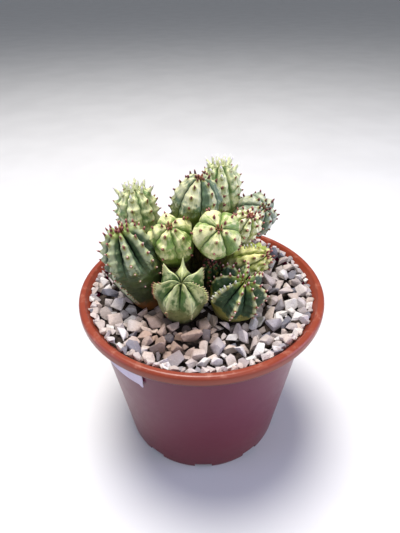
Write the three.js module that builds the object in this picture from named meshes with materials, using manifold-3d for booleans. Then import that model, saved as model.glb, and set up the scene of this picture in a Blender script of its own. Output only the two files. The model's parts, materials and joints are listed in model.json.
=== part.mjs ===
// A clustering, variegated euphorbia in a plastic nursery pot with a gravel top dressing.
// Millimetres, +Z up, origin in the middle of the pot's foot, the front of the plant towards -Y.
import * as THREE from "three";
import { mergeVertices } from "three/addons/utils/BufferGeometryUtils.js";
import Module from "manifold-3d";

const wasm = await Module();
wasm.setup();

// Clearance between pieces that rest on or in each other.
const gap = 0.3;

// Pot: a thin tapered wall with a faint collar, a rolled rim and a raised floor.
const potHeight = 65;
const rimRadius = 42.5;
const rimInnerRadius = 40;
const rimUnderside = 61.1;
const rimRounding = 1.2;
const wallTopRadius = 38.3;
const baseRadius = 30.6;
const wallThickness = 1;
const flareStart = 59;
const flareHeight = 62.2;
const flareRadius = 38.4;
const collarHeight = 56.3;
const collarStep = 0.35;
const footInnerRadius = 28.2;
const footRounding = 1.3;
const floorUnderside = 2.4;
const floorThickness = 1.2;
const floorFillet = 0.8;
const potSides = 36;

// Drain slots through the foot, the lower wall and the edge of the floor.
const slotCount = 10;
const slotWidth = 6.5;
const slotHeight = 2.5;
const slotInnerRadius = 25.8;
const slotLength = 8;
const floorCutDepth = 2.4;

// Label stuck on the wall, under the rim.
const labelStart = -165;
const labelEnd = -119;
const labelBottom = 50.3;
const labelTop = 60.3;
const labelThickness = 0.6;
const labelParts = 8;

// Filling: potting mix, then a bed of gravel with the surface stones standing out of it.
const soilTop = 53.5;
const soilChamfer = 1.5;
const bedTop = 59.4;
const bedRise = 2.3;
const bedSwell = 0.4;
const bedSides = 20;
const bedBreak = 0.6;
const stoneSeed = 7;
const stoneAttempts = 5200;
const stoneLargest = 7;
const stoneSmallest = 4.2;
const stoneCloseness = 0.97;
const stoneReach = 38.8;
const stoneClearance = 1.5;
// Half sizes of a stone and how far they vary, as shares of its size, then how far its corners are
// drawn in, how it is tipped (radians) and how high its middle lies over the bed.
const stoneHalves = [0.48, 0.38, 0.3];
const stoneSpread = 0.1;
const stoneDraw = 0.5;
const stoneTilt = 1.1;
const stoneLift = 0.05;
const stoneLiftSpread = 0.16;
// Dark hollow between the two front heads where no stone lies.
const hollow = { x: 1.2, y: -9.5, radius: 4.2 };

// Segments of the plant share one form: a ribbed barrel that widens from its root disc to its belly
// and closes in a dimpled crown. Lengths run along the axis, lean is measured from upright and
// heading is the compass direction of the lean, 0 towards +X and 90 towards +Y.
const flankRoundness = 0.9;
const crownRoundness = 0.833;
const crownTaper = 1.1;
const ribDepth = 0.2;
const furrowSharpness = 1.2;
const crownShallowing = 0.75;
const tubercleHeight = 0.055;
const crownDimple = 0.05;
// Shares of the length between which the ribs grow up from the root, even out towards the crown and
// sink into its dimple.
const ribsGrow = [0.02, 0.4];
const ribsEven = [0.8, 1];
const crownSinks = [0.9, 1];

// Dried flower-stalk stubs, between two shares of the length; longer horns stand near the crown.
const stubLength = 1.7;
const stubRadius = 0.5;
const stubRoot = 0.9;
const stubRise = 0.35;
const stubLow = 0.36;
const stubHigh = 0.93;
const hornLow = 0.68;
const hornRadius = 1;
const stubClearance = 1;
const stubAboveBed = 4.5;

// The heads, from the front of the cluster to the back: each gives way to those before it.
const heads = [
  { name: "head_front", root: [-7, -7.5, 58.7], lean: 22, heading: -84, length: 22, radius: 8,
    ribs: 7, spin: 27, neck: 0.62, belly: 0.6, horns: 3.2, color: 0xaebb86 },
  { name: "head_front_right", root: [9.5, -6, 59], lean: 28, heading: -66, length: 22, radius: 8.8,
    ribs: 8, spin: 10, neck: 0.62, belly: 0.6, color: 0x6d7f52 },
  { name: "head_front_left", root: [-18, -2.4, 59.1], lean: 14, heading: -168, length: 32.5, radius: 9,
    ribs: 8, spin: 44, neck: 0.48, belly: 0.62, color: 0x6f8260 },
  { name: "head_centre", root: [4.5, 3, 80.3], lean: 46, heading: -86, length: 19, radius: 7.6,
    ribs: 5, across: 6, spin: 40, neck: 0.62, belly: 0.6, color: 0xd8dc9e },
  { name: "head_middle_left", root: [-9, 5, 73.3], lean: 28, heading: -95, length: 20, radius: 7.4,
    ribs: 8, spin: 26, neck: 0.62, belly: 0.6, color: 0xc4cf8a },
  { name: "head_shaded", root: [3, 0.5, 63.5], lean: 24, heading: -87, length: 16, radius: 3.6,
    ribs: 6, spin: 10, neck: 0.62, belly: 0.6, color: 0x33452c },
  { name: "head_bud_right", root: [13, 13, 74], lean: 30, heading: -65, length: 18, radius: 5.1,
    ribs: 8, spin: 12, neck: 0.62, belly: 0.6, color: 0xb3bd62 },
  { name: "head_low_right", root: [6.5, 5.5, 67.3], lean: 56, heading: -30, length: 22, radius: 5.6,
    ribs: 7, spin: 2, neck: 0.62, belly: 0.6, color: 0xa9b763 },
  { name: "head_right", root: [15.2, 26.7, 73.7], lean: 46, heading: -53, length: 19, radius: 7.8,
    ribs: 7, spin: 12, neck: 0.65, belly: 0.6, color: 0x93a78c },
  { name: "head_tall", root: [-3, 12, 74.5], lean: 10, heading: -50, length: 28, radius: 8.6,
    ribs: 6, spin: 26, neck: 0.62, belly: 0.55, color: 0x9aa585 },
  { name: "head_back_left", root: [-21, 13.5, 72], lean: 4, heading: -150, length: 25, radius: 7.1,
    ribs: 8, spin: 14, neck: 0.7, belly: 0.6, color: 0xb4c08a },
  { name: "head_rear", root: [8.5, 26.5, 74], lean: 7, heading: -120, length: 27, radius: 7.4,
    ribs: 8, spin: 36, neck: 0.62, belly: 0.6, color: 0xb5c191 },
];

// Facets of a head, unless it says otherwise: rows along it and columns across each rib.
const headShape = { rows: 8, across: 4 };

// Older segments that carry the upper heads.
const olderSegments = [
  { root: [9, 21, 55], lean: 6, heading: 110, length: 25, radius: 9 },
  { root: [-3.5, 12.5, 55], lean: 3, heading: 90, length: 21.5, radius: 8 },
  { root: [-16.5, 11.5, 55], lean: 12, heading: 150, length: 19.5, radius: 7.6 },
  { root: [7, 6, 55], lean: 8, heading: 160, length: 27, radius: 7.6 },
  { root: [-8.5, 7, 55], lean: 4, heading: 180, length: 20.5, radius: 6.6 },
];
const olderShape = { ribs: 6, spin: 0, neck: 0.7, belly: 0.6, rows: 4, across: 4 };

// Woody rootstock in the filling, and the short stems that run from it to the basal heads.
const rootstock = { x: -1, y: 8 };
const rootstockProfile = [[0, 34], [2, 35], [4.5, 41], [8, 48], [11.5, 54], [11, 58], [0, 60]];
const rootstockSides = 12;
const rootstockSlack = 1.5;
const stolonStart = [-2, 4, 50];
const stolonRadius = 4.4;
const stolonOverrun = 1.5;
const stolonShape = { neck: 0.7, belly: 0.6 };

// Smooth hulls round the segments, for cutting: their sides and rings, how far they stand out over
// the crests, as a share of the tubercles' height, and where their last ring lies.
const fineEnvelope = { sides: 12, rings: 7, swelling: 0.6 };
const coarseEnvelope = { sides: 9, rings: 4, swelling: 1.1 };
const stolonEnvelope = { sides: 8, rings: 4, swelling: 1.1 };
const envelopeTop = 0.9;
const crownLift = 0.6;
// Steps along a segment at which its nearness is tested, and the height taken in at each.
const nearSteps = 20;
const nearBand = 1.5;

const gravelColor = 0xb9aca4;
const soilColor = 0x3b2c22;
const potColor = 0x7d4347;
const labelColor = 0xdcd8e6;
const stemColor = 0x6f5c36;

// Same draws on every run.
function seeded(seed) {
  let state = seed;
  return () => {
    state = (state + 0x6d2b79f5) | 0;
    let mixed = Math.imul(state ^ (state >>> 15), 1 | state);
    mixed = (mixed + Math.imul(mixed ^ (mixed >>> 7), 61 | mixed)) ^ mixed;
    return ((mixed ^ (mixed >>> 14)) >>> 0) / 4294967296;
  };
}

// A closed geometry as a solid for joining and cutting, turned right side out where it has to be.
function solidOf(geometry) {
  const bare = geometry.clone();
  bare.deleteAttribute("normal");
  bare.deleteAttribute("uv");
  const merged = mergeVertices(bare, 1e-4);
  const corners = merged.index.array;
  const position = merged.attributes.position;
  const faces = [];
  let volume = 0;
  const [a, b, c] = [new THREE.Vector3(), new THREE.Vector3(), new THREE.Vector3()];
  for (let i = 0; i < corners.length; i += 3) {
    const [p, q, r] = [corners[i], corners[i + 1], corners[i + 2]];
    if (p === q || q === r || r === p) continue;
    faces.push(p, q, r);
    a.fromBufferAttribute(position, p);
    b.fromBufferAttribute(position, q);
    c.fromBufferAttribute(position, r);
    volume += a.dot(b.cross(c));
  }
  if (volume < 0) faces.reverse();
  return new wasm.Manifold(new wasm.Mesh({
    numProp: 3, vertProperties: position.array, triVerts: Uint32Array.from(faces),
  }));
}

// The largest body of a solid, without loose scraps and sealed hollows.
function mainBody(solid) {
  const bodies = solid.decompose();
  bodies.sort((first, second) => second.volume() - first.volume());
  return bodies[0];
}

function meshOf(name, solid, color, roughness) {
  const { vertProperties, triVerts } = mainBody(solid).getMesh();
  const geometry = new THREE.BufferGeometry();
  geometry.setAttribute("position", new THREE.BufferAttribute(vertProperties, 3));
  geometry.setIndex(new THREE.BufferAttribute(triVerts, 1));
  geometry.computeVertexNormals();
  const material = new THREE.MeshStandardMaterial({ color, roughness, metalness: 0 });
  const mesh = new THREE.Mesh(geometry, material);
  mesh.name = name;
  return mesh;
}

// Turns a profile of [radius, height] pairs about the Z axis.
function turned(profile, sides) {
  const points = profile.map(([radius, height]) => new THREE.Vector2(radius, height));
  return new THREE.LatheGeometry(points, sides).rotateX(Math.PI / 2);
}

// Pot

function wallRadius(height) {
  return baseRadius + ((wallTopRadius - baseRadius) * height) / rimUnderside;
}

function innerRadius(height) {
  return wallRadius(height) - wallThickness;
}

function potProfile() {
  const floorTop = floorUnderside + floorThickness;
  const profile = [[0, floorUnderside], [footInnerRadius, floorUnderside], [footInnerRadius, 0]];
  for (const turn of [0, 45, 90]) {
    const angle = THREE.MathUtils.degToRad(turn);
    const centre = wallRadius(footRounding) - footRounding;
    profile.push([centre + footRounding * Math.sin(angle), footRounding * (1 - Math.cos(angle))]);
  }
  profile.push([wallRadius(collarHeight), collarHeight]);
  profile.push([wallRadius(collarHeight) + collarStep, collarHeight + collarStep]);
  profile.push([wallRadius(rimUnderside) + collarStep, rimUnderside]);
  profile.push([rimRadius - rimRounding, rimUnderside]);
  profile.push([rimRadius, rimUnderside + rimRounding]);
  profile.push([rimRadius, potHeight - rimRounding]);
  profile.push([rimRadius - rimRounding, potHeight]);
  profile.push([rimInnerRadius, potHeight - rimRounding / 2]);
  profile.push([flareRadius, flareHeight], [innerRadius(flareStart), flareStart]);
  profile.push([innerRadius(floorTop + floorFillet), floorTop + floorFillet]);
  profile.push([innerRadius(floorTop) - floorFillet, floorTop], [0, floorTop]);
  return profile;
}

function potSolid() {
  let solid = solidOf(turned(potProfile(), potSides));
  for (let i = 0; i < slotCount; i++) {
    const angle = -Math.PI / 2 + (i * 2 * Math.PI) / slotCount;
    const wallCut = new THREE.BoxGeometry(slotLength, slotWidth, 2 * slotHeight);
    wallCut.translate(slotInnerRadius + slotLength / 2, 0, 0).rotateZ(angle);
    const floorCut = new THREE.BoxGeometry(floorCutDepth, slotWidth, 4 * slotHeight);
    floorCut.translate(slotInnerRadius + floorCutDepth / 2, 0, slotHeight).rotateZ(angle);
    solid = solid.subtract(solidOf(wallCut).add(solidOf(floorCut)));
  }
  return solid;
}

// A flat plate bent round the tapered wall.
function labelSolid() {
  const plate = new THREE.BoxGeometry(1, 1, 1, labelParts, 1, 1);
  const position = plate.attributes.position;
  for (let i = 0; i < position.count; i++) {
    const around = position.getX(i) + 0.5;
    const height = THREE.MathUtils.lerp(labelBottom, labelTop, position.getZ(i) + 0.5);
    const angle = THREE.MathUtils.degToRad(THREE.MathUtils.lerp(labelStart, labelEnd, around));
    const collar = height > collarHeight ? collarStep : 0;
    const outward = position.getY(i) > 0 ? labelThickness : 0;
    const radius = wallRadius(height) + collar + gap + outward;
    position.setXYZ(i, radius * Math.cos(angle), radius * Math.sin(angle), height);
  }
  return solidOf(plate);
}

// Plant

// Height and radius of the bare barrel, as shares of length and radius, from root (0) to crown (1).
function barrelShare(along, neck, belly) {
  if (along < 0.5) {
    const rise = along / 0.5;
    return [belly * rise, neck + (1 - neck) * Math.sin((rise * Math.PI) / 2) ** flankRoundness];
  }
  const turn = (along - 0.5) * Math.PI;
  const out = Math.max(0, Math.cos(turn)) ** crownTaper;
  return [belly + (1 - belly) * Math.sin(turn) ** crownRoundness, out];
}

// Axes of a segment: side, front and the direction it grows in.
function segmentAxes({ lean, heading }) {
  const [tilt, turn] = [THREE.MathUtils.degToRad(lean), THREE.MathUtils.degToRad(heading)];
  const axis = new THREE.Vector3(Math.cos(turn), Math.sin(turn), 0).multiplyScalar(Math.sin(tilt));
  axis.z = Math.cos(tilt);
  const side = new THREE.Vector3(0, 0, 1).cross(axis).normalize();
  return { side, front: axis.clone().cross(side), axis };
}

function segmentMatrix(segment) {
  const { side, front, axis } = segmentAxes(segment);
  return new THREE.Matrix4().makeBasis(side, front, axis).setPosition(...segment.root);
}

// How far the skin stands in from the crest line: V-shaped furrows, and tubercles along each rib.
function relief(segment, along, ribShare) {
  const { smoothstep } = THREE.MathUtils;
  const rib = Math.floor(ribShare + 0.5);
  const fromCrest = Math.abs(ribShare - rib) * 2;
  const rooted = smoothstep(along, ...ribsGrow);
  const open = 1 - crownShallowing * smoothstep(along, ...ribsEven);
  const furrow = ribDepth * segment.radius * rooted * open * fromCrest ** furrowSharpness;
  const beat = Math.cos(2 * Math.PI * (segment.rows * 0.5 * along - 0.5 * (rib % 2)));
  const swell = tubercleHeight * segment.radius * rooted * open * beat * (1 - fromCrest);
  const dimple = crownDimple * segment.length * smoothstep(along, ...crownSinks);
  return swell - furrow - dimple;
}

// A point of the skin in the segment's own axes, with the outward direction there.
function skinPoint(segment, along, ribShare) {
  const { length, radius, neck, belly, ribs, spin } = segment;
  const [low, high] = [Math.max(0, along - 0.01), Math.min(1, along + 0.01)];
  const [[lowRise, lowOut], [rise, out], [highRise, highOut]] = [low, along, high].map(
    (share) => barrelShare(share, neck, belly),
  );
  const slope = new THREE.Vector2((highRise - lowRise) * length, (lowOut - highOut) * radius);
  const [outward, upward] = along >= 1 ? [0, 1] : slope.normalize().toArray();
  const depth = relief(segment, along, ribShare);
  const angle = THREE.MathUtils.degToRad(spin) + (ribShare / ribs) * 2 * Math.PI;
  const away = new THREE.Vector3(Math.cos(angle), Math.sin(angle), 0);
  const point = away.clone().multiplyScalar(Math.max(0, out * radius + depth * outward));
  point.z = rise * length + depth * upward;
  const normal = away.multiplyScalar(outward);
  normal.z = upward;
  return { point, normal };
}

// The ribbed barrel: a lathe whose vertices are then set on the skin.
function segmentSolid(segment) {
  const { ribs, rows, across } = segment;
  const profile = [new THREE.Vector2(0, 0)];
  for (let row = 0; row <= rows; row++) profile.push(new THREE.Vector2(row < rows ? 1 : 0, row));
  const lathe = new THREE.LatheGeometry(profile, across * ribs);
  const position = lathe.attributes.position;
  const matrix = segmentMatrix(segment);
  for (let i = 0; i < position.count; i++) {
    const row = (i % profile.length) - 1;
    const column = Math.floor(i / profile.length) % (across * ribs);
    const central = row < 0 || row === rows;
    const { point } = skinPoint(segment, Math.max(0, row) / rows, central ? 0 : column / across);
    if (central) point.setX(0).setY(0);
    point.applyMatrix4(matrix);
    position.setXYZ(i, point.x, point.y, point.z);
  }
  return solidOf(lathe);
}

// A smooth barrel just outside the segment's crests, which neighbours are cut back to. A coarse one
// has longer facets, and stands further out so that they stay clear of the skin.
function envelopeSolid(segment, clearance, { sides, rings, swelling }) {
  const grow = clearance + tubercleHeight * segment.radius * swelling;
  const profile = [[0, -clearance], [segment.neck * segment.radius + grow, -clearance]];
  for (let ring = 1; ring < rings; ring++) {
    const [rise, out] = barrelShare((ring * envelopeTop) / (rings - 1), segment.neck, segment.belly);
    const lift = 2 * ring > rings ? grow * crownLift : 0;
    profile.push([out * segment.radius + grow, rise * segment.length + lift]);
  }
  profile.push([0, segment.length + grow]);
  const round = 1 / Math.cos(Math.PI / sides);
  const widened = profile.map(([radius, height]) => [radius * round, height]);
  return solidOf(turned(widened, sides).applyMatrix4(segmentMatrix(segment)));
}

// True where a point lies in the segment or nearer to it than the margin.
function nearSegment(point, segment, margin) {
  const local = point.clone().applyMatrix4(segmentMatrix(segment).invert());
  if (local.z < -margin || local.z > segment.length + margin) return false;
  let widest = 0;
  for (let step = 0; step <= nearSteps; step++) {
    const [rise, out] = barrelShare(step / nearSteps, segment.neck, segment.belly);
    const level = Math.abs(rise * segment.length - local.z) < nearBand;
    if (level) widest = Math.max(widest, out * segment.radius);
  }
  return Math.hypot(local.x, local.y) < widest + margin;
}

// Dried flower-stalk stubs, one on each tubercle of the upper part, as three-sided spikes.
function stubSolids(head, others) {
  const matrix = segmentMatrix(head);
  const solids = [];
  for (let rib = 0; rib < head.ribs; rib++) {
    for (let tubercle = 1; tubercle <= head.rows / 2; tubercle++) {
      const along = (2 * tubercle - (rib % 2)) / head.rows;
      if (along < stubLow || along > stubHigh) continue;
      const { point, normal } = skinPoint(head, along, rib);
      const isHorn = head.horns && along > hornLow;
      const length = isHorn ? head.horns : stubLength;
      const direction = normal.add(new THREE.Vector3(0, 0, stubRise)).normalize();
      const turn = new THREE.Quaternion().setFromUnitVectors(new THREE.Vector3(0, 1, 0), direction);
      const spike = new THREE.ConeGeometry(isHorn ? hornRadius : stubRadius, length + stubRoot, 3);
      spike.translate(0, (length - stubRoot) / 2, 0).applyQuaternion(turn);
      spike.translate(point.x, point.y, point.z).applyMatrix4(matrix);
      const reach = [0, length / 2, length].map((distance) => {
        return point.clone().addScaledVector(direction, distance).applyMatrix4(matrix);
      });
      const blocked = others.some((other) => {
        return reach.some((spot) => nearSegment(spot, other, stubClearance));
      });
      if (!blocked && reach[2].z > bedTop + stubAboveBed) solids.push(solidOf(spike));
    }
  }
  return solids;
}

function headSolid(head, place, all) {
  let solid = segmentSolid(head);
  const others = [...all.filter((other) => other !== head), ...bearers];
  for (const stub of stubSolids(head, others)) solid = solid.add(stub);
  for (const earlier of all.slice(0, place)) {
    const cutter = envelopeSolid(earlier, gap, fineEnvelope);
    if (!solid.intersect(cutter).isEmpty()) solid = solid.subtract(cutter);
  }
  return mainBody(solid);
}

// A short stem from the rootstock to the root disc of a basal head.
function stolon(head) {
  const [from, to] = [new THREE.Vector3(...stolonStart), new THREE.Vector3(...head.root)];
  const run = to.clone().sub(from);
  const lean = THREE.MathUtils.radToDeg(Math.acos(run.z / run.length()));
  const heading = THREE.MathUtils.radToDeg(Math.atan2(run.y, run.x));
  const length = run.length() + stolonOverrun;
  return { root: stolonStart, lean, heading, length, radius: stolonRadius, ...stolonShape };
}

const basalHeads = heads.filter((head) => head.root[2] < bedTop);
const stolons = basalHeads.map(stolon);
const bearers = olderSegments.map((segment) => ({ ...segment, ...olderShape }));

function rootstockSolid(clearance) {
  const middle = rootstockProfile[3][1];
  const profile = rootstockProfile.map(([radius, height]) => {
    const grown = radius > 0 ? radius + rootstockSlack * clearance : 0;
    return [grown, height + Math.sign(height - middle) * clearance];
  });
  return solidOf(turned(profile, rootstockSides).translate(rootstock.x, rootstock.y, 0));
}

function olderStemsSolid() {
  let solid = rootstockSolid(0);
  for (const bearer of bearers) solid = solid.add(segmentSolid(bearer));
  for (const stem of stolons) solid = solid.add(envelopeSolid(stem, 0, stolonEnvelope));
  for (const head of heads) solid = solid.subtract(envelopeSolid(head, gap, coarseEnvelope));
  return mainBody(solid);
}

// Everything of the plant that passes through the filling, with clearance.
function plantCutter() {
  let cutter = rootstockSolid(gap);
  for (const bearer of bearers) cutter = cutter.add(envelopeSolid(bearer, gap, coarseEnvelope));
  for (const stem of stolons) cutter = cutter.add(envelopeSolid(stem, gap, stolonEnvelope));
  for (const head of heads) cutter = cutter.add(envelopeSolid(head, gap, coarseEnvelope));
  return cutter;
}

// Filling

// The gravel dips round the plant and rises to the rim, with a slight swell.
function bedLevel(x, y) {
  const dish = bedRise * (Math.hypot(x, y) / stoneReach) ** 2;
  return bedTop + dish + bedSwell * Math.sin(x / 9 + 1) * Math.cos(y / 8);
}

// Where the surface stones lie: the largest first, then smaller ones in the spaces left.
function stonePlaces() {
  const draw = seeded(stoneSeed);
  const places = [];
  for (let attempt = 0; attempt < stoneAttempts; attempt++) {
    const angle = draw() * 2 * Math.PI;
    const distance = Math.sqrt(draw()) * stoneReach;
    const size = stoneLargest - (stoneLargest - stoneSmallest) * Math.sqrt(attempt / stoneAttempts);
    const form = Array.from({ length: 32 }, draw);
    const [x, y] = [distance * Math.cos(angle), distance * Math.sin(angle)];
    if (distance + size / 2 > stoneReach) continue;
    if (Math.hypot(x - hollow.x, y - hollow.y) < hollow.radius) continue;
    const spot = new THREE.Vector3(x, y, bedLevel(x, y) + stoneClearance);
    if (heads.some((head) => nearSegment(spot, head, size / 4))) continue;
    const crowded = places.some((other) => {
      return Math.hypot(x - other.x, y - other.y) < (stoneCloseness * (size + other.size)) / 2;
    });
    if (!crowded) places.push({ x, y, size, form });
  }
  return places;
}

// Free radius inside the pot, where its wall flares out to the rim.
function fillRadius(height) {
  const { clamp, mapLinear } = THREE.MathUtils;
  if (height < flareStart) return innerRadius(height);
  if (height < flareHeight) {
    return mapLinear(height, flareStart, flareHeight, innerRadius(flareStart), flareRadius);
  }
  const rimHeight = potHeight - rimRounding / 2;
  const level = clamp(height, flareHeight, rimHeight);
  return mapLinear(level, flareHeight, rimHeight, flareRadius, rimInnerRadius);
}

// An angular chip: a block whose corners are drawn in unevenly, and in from the wall of the pot.
function stoneSolid({ x, y, size, form }) {
  const half = stoneHalves.map((share, axis) => (share + stoneSpread * form[axis]) * size);
  const block = new THREE.BoxGeometry(2, 2, 2);
  const position = block.attributes.position;
  for (let i = 0; i < position.count; i++) {
    const corner = [position.getX(i), position.getY(i), position.getZ(i)];
    const index = (corner[0] > 0 ? 1 : 0) + (corner[1] > 0 ? 2 : 0) + (corner[2] > 0 ? 4 : 0);
    const drawn = corner.map((value, axis) => {
      return value * half[axis] * (1 - stoneDraw * form[8 + index * 3 + axis]);
    });
    position.setXYZ(i, ...drawn);
  }
  block.rotateX((form[3] - 0.5) * stoneTilt).rotateY((form[4] - 0.5) * stoneTilt);
  block.rotateZ(form[5] * 2 * Math.PI);
  block.translate(x, y, bedLevel(x, y) + (stoneLift + stoneLiftSpread * form[6]) * size);
  for (let i = 0; i < position.count; i++) {
    const [cornerX, cornerY] = [position.getX(i), position.getY(i)];
    const free = (fillRadius(position.getZ(i)) - 2 * gap) / Math.hypot(cornerX, cornerY);
    if (free < 1) position.setXY(i, cornerX * free, cornerY * free);
  }
  return solidOf(block);
}

function soilSolid(cutter) {
  const bottom = floorUnderside + floorThickness + gap;
  const shoulder = bottom + soilChamfer;
  const profile = [
    [0, bottom], [innerRadius(bottom) - soilChamfer, bottom], [innerRadius(shoulder) - gap, shoulder],
    [innerRadius(soilTop) - gap, soilTop], [0, soilTop],
  ];
  return solidOf(turned(profile, potSides)).subtract(cutter);
}

function gravelSolid(cutter) {
  const bottom = soilTop + gap;
  const brim = bedTop + bedRise;
  const bed = [
    [0, bottom], [innerRadius(bottom) - gap, bottom], [innerRadius(brim) - gap, brim],
    [stoneReach * bedBreak, bedTop + bedRise * bedBreak ** 2], [0, bedTop],
  ];
  let solid = solidOf(turned(bed, bedSides));
  for (const place of stonePlaces()) solid = solid.add(stoneSolid(place));
  return solid.subtract(cutter);
}

const plant = new THREE.Group();
const allHeads = heads.map((head) => ({ ...headShape, ...head }));
allHeads.forEach((head, place) => {
  plant.add(meshOf(head.name, headSolid(head, place, allHeads), head.color, 0.6));
});
plant.add(meshOf("older_stems", olderStemsSolid(), stemColor, 0.8));

const cutter = plantCutter();
const container = new THREE.Group();
container.add(meshOf("pot", potSolid(), potColor, 0.45));
container.add(meshOf("label", labelSolid(), labelColor, 0.8));
container.add(meshOf("soil", soilSolid(cutter), soilColor, 0.95));
container.add(meshOf("gravel", gravelSolid(cutter), gravelColor, 0.85));

const part = new THREE.Group();
part.add(container, plant);

export default part;
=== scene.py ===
import json
import math

import bmesh
import bpy
import numpy as np
from mathutils import Matrix, Vector


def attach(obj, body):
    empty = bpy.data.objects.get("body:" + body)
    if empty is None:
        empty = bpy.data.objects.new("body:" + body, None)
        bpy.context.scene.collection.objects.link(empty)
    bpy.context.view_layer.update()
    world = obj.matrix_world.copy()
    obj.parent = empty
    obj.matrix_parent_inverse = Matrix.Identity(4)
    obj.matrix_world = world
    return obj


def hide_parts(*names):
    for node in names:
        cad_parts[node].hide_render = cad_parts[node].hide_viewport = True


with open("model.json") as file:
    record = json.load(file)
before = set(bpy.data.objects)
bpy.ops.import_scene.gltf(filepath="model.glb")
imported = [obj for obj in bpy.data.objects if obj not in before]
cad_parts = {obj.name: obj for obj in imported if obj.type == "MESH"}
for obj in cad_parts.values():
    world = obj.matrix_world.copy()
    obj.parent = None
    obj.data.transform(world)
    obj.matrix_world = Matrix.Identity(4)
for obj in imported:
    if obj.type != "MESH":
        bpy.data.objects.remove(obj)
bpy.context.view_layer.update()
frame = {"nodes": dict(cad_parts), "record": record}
print("frame loaded,", len(frame["nodes"]), "nodes")

mm = 0.001


# Small tools

def smoothStep(value, low, high):
    share = np.clip((value - low) / (high - low), 0, 1)
    return share * share * (3 - 2 * share)


def scatter(cells, seed):
    mixed = np.sin(cells @ np.array([127.1, 311.7, 74.7]) + seed * 17.31) * 43758.5453
    return mixed - np.floor(mixed)


def bell(value, width):  # 1 at zero, and falls away over the width
    return np.exp(-(value / width) ** 2)


def softNoise(points, size, seed):  # smooth noise from -1 to 1, for numpy points in mm
    cell = np.floor(points / size)
    local = points / size - cell
    fade = local * local * (3 - 2 * local)
    total = np.zeros(points.shape[:-1])
    for corner in range(8):
        offset = np.array([corner & 1, corner >> 1 & 1, corner >> 2 & 1])
        weight = np.prod(np.where(offset > 0, fade, 1 - fade), axis=-1)
        total += weight * scatter(cell + offset, seed)
    return total * 2 - 1


def seededDraws(seed):  # the same stream of draws that the stones' solids use
    state = seed
    while True:
        state = (state + 0x6D2B79F5) & 0xFFFFFFFF
        mixed = ((state ^ (state >> 15)) * (1 | state)) & 0xFFFFFFFF
        mixed = (mixed + ((mixed ^ (mixed >> 7)) * (61 | mixed)) & 0xFFFFFFFF) ^ mixed
        yield ((mixed ^ (mixed >> 14)) & 0xFFFFFFFF) / 4294967296


def makePiece(name, points, faces, attributes=None, sharpAngle=None):
    mesh = bpy.data.meshes.new(name)
    mesh.from_pydata((np.asarray(points) * mm).tolist(), [], [list(map(int, f)) for f in faces])
    for label, values in (attributes or {}).items():
        values = np.asarray(values, np.float32)
        kind, field = ("FLOAT_VECTOR", "vector") if values.ndim == 2 else ("FLOAT", "value")
        mesh.attributes.new(label, kind, "POINT").data.foreach_set(field, values.reshape(-1))
    mesh.validate()
    mesh.shade_smooth()
    if sharpAngle:
        mesh.set_sharp_from_angle(angle=math.radians(sharpAngle))
    piece = bpy.data.objects.new(name, mesh)
    bpy.context.scene.collection.objects.link(piece)
    return piece


def settle(piece, material, slotName, *nodes):  # finish, body and the solids it stands for
    piece.data.materials.clear()
    piece.data.materials.append(material)
    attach(piece, "root")
    if nodes:
        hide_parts(*nodes)
    return piece


def gridFaces(rows, columns):  # closed round in columns
    row, column = np.meshgrid(np.arange(rows - 1), np.arange(columns), indexing="ij")
    after = (column + 1) % columns
    quads = np.stack([row * columns + column, row * columns + after,
                      (row + 1) * columns + after, (row + 1) * columns + column], -1)
    return quads.reshape(-1, 4)


def paint(red, green, blue):  # screen colour to the linear colour that shaders take
    channels = [c / 255 for c in (red, green, blue)]
    return [c / 12.92 if c <= 0.04045 else ((c + 0.055) / 1.055) ** 2.4 for c in channels] + [1]


# Material tools

def newMaterial(name, roughness=0.5, **sockets):
    material = bpy.data.materials.new(name)
    material.use_nodes = True
    shader = material.node_tree.nodes["Principled BSDF"]
    shader.inputs["Roughness"].default_value = roughness
    for label, value in sockets.items():
        shader.inputs[label.replace("_", " ")].default_value = value
    return material, material.node_tree, shader


def addNode(tree, kind, inputs=None, **settings):
    node = tree.nodes.new(kind)
    for label, value in settings.items():
        setattr(node, label, value)
    for label, value in (inputs or {}).items():
        if isinstance(value, bpy.types.NodeSocket):
            tree.links.new(value, node.inputs[label])
        else:
            node.inputs[label].default_value = value
    return node


def objectCoords(tree, stretch=(1, 1, 1), shift=(0, 0, 0)):
    coords = addNode(tree, "ShaderNodeTexCoord").outputs["Object"]
    settings = {"Vector": coords, "Scale": stretch, "Location": shift}
    return addNode(tree, "ShaderNodeMapping", settings).outputs[0]


def noiseOf(tree, coords, grain, detail=3, roughness=0.55, warp=0.0):  # grain in mm
    settings = {"Vector": coords, "Scale": 1 / (grain * mm), "Detail": detail,
                "Roughness": roughness, "Distortion": warp}
    return addNode(tree, "ShaderNodeTexNoise", settings).outputs["Fac"]


def attributeOf(tree, label, output="Fac"):
    return addNode(tree, "ShaderNodeAttribute", attribute_name=label).outputs[output]


def calc(tree, operation, first, second=0.0):
    return addNode(tree, "ShaderNodeMath", {0: first, 1: second}, operation=operation).outputs[0]


def stepOf(tree, value, low, high, least=0.0, most=1.0):
    return addNode(tree, "ShaderNodeMapRange", {
        "Value": value, "From Min": low, "From Max": high, "To Min": least, "To Max": most,
    }, interpolation_type="SMOOTHSTEP").outputs["Result"]


def mixOf(tree, share, first, second, blend="MIX"):
    node = addNode(tree, "ShaderNodeMix", {0: share, 6: first, 7: second},
                   data_type="RGBA", blend_type=blend)
    return node.outputs[2]


def rampOf(tree, value, stops):
    node = addNode(tree, "ShaderNodeValToRGB", {"Fac": value})
    elements = node.color_ramp.elements
    while len(elements) < len(stops):
        elements.new(0.5)
    for element, (place, colour) in zip(elements, stops):
        element.position = place
        element.color = colour
    return node.outputs["Color"]


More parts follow.
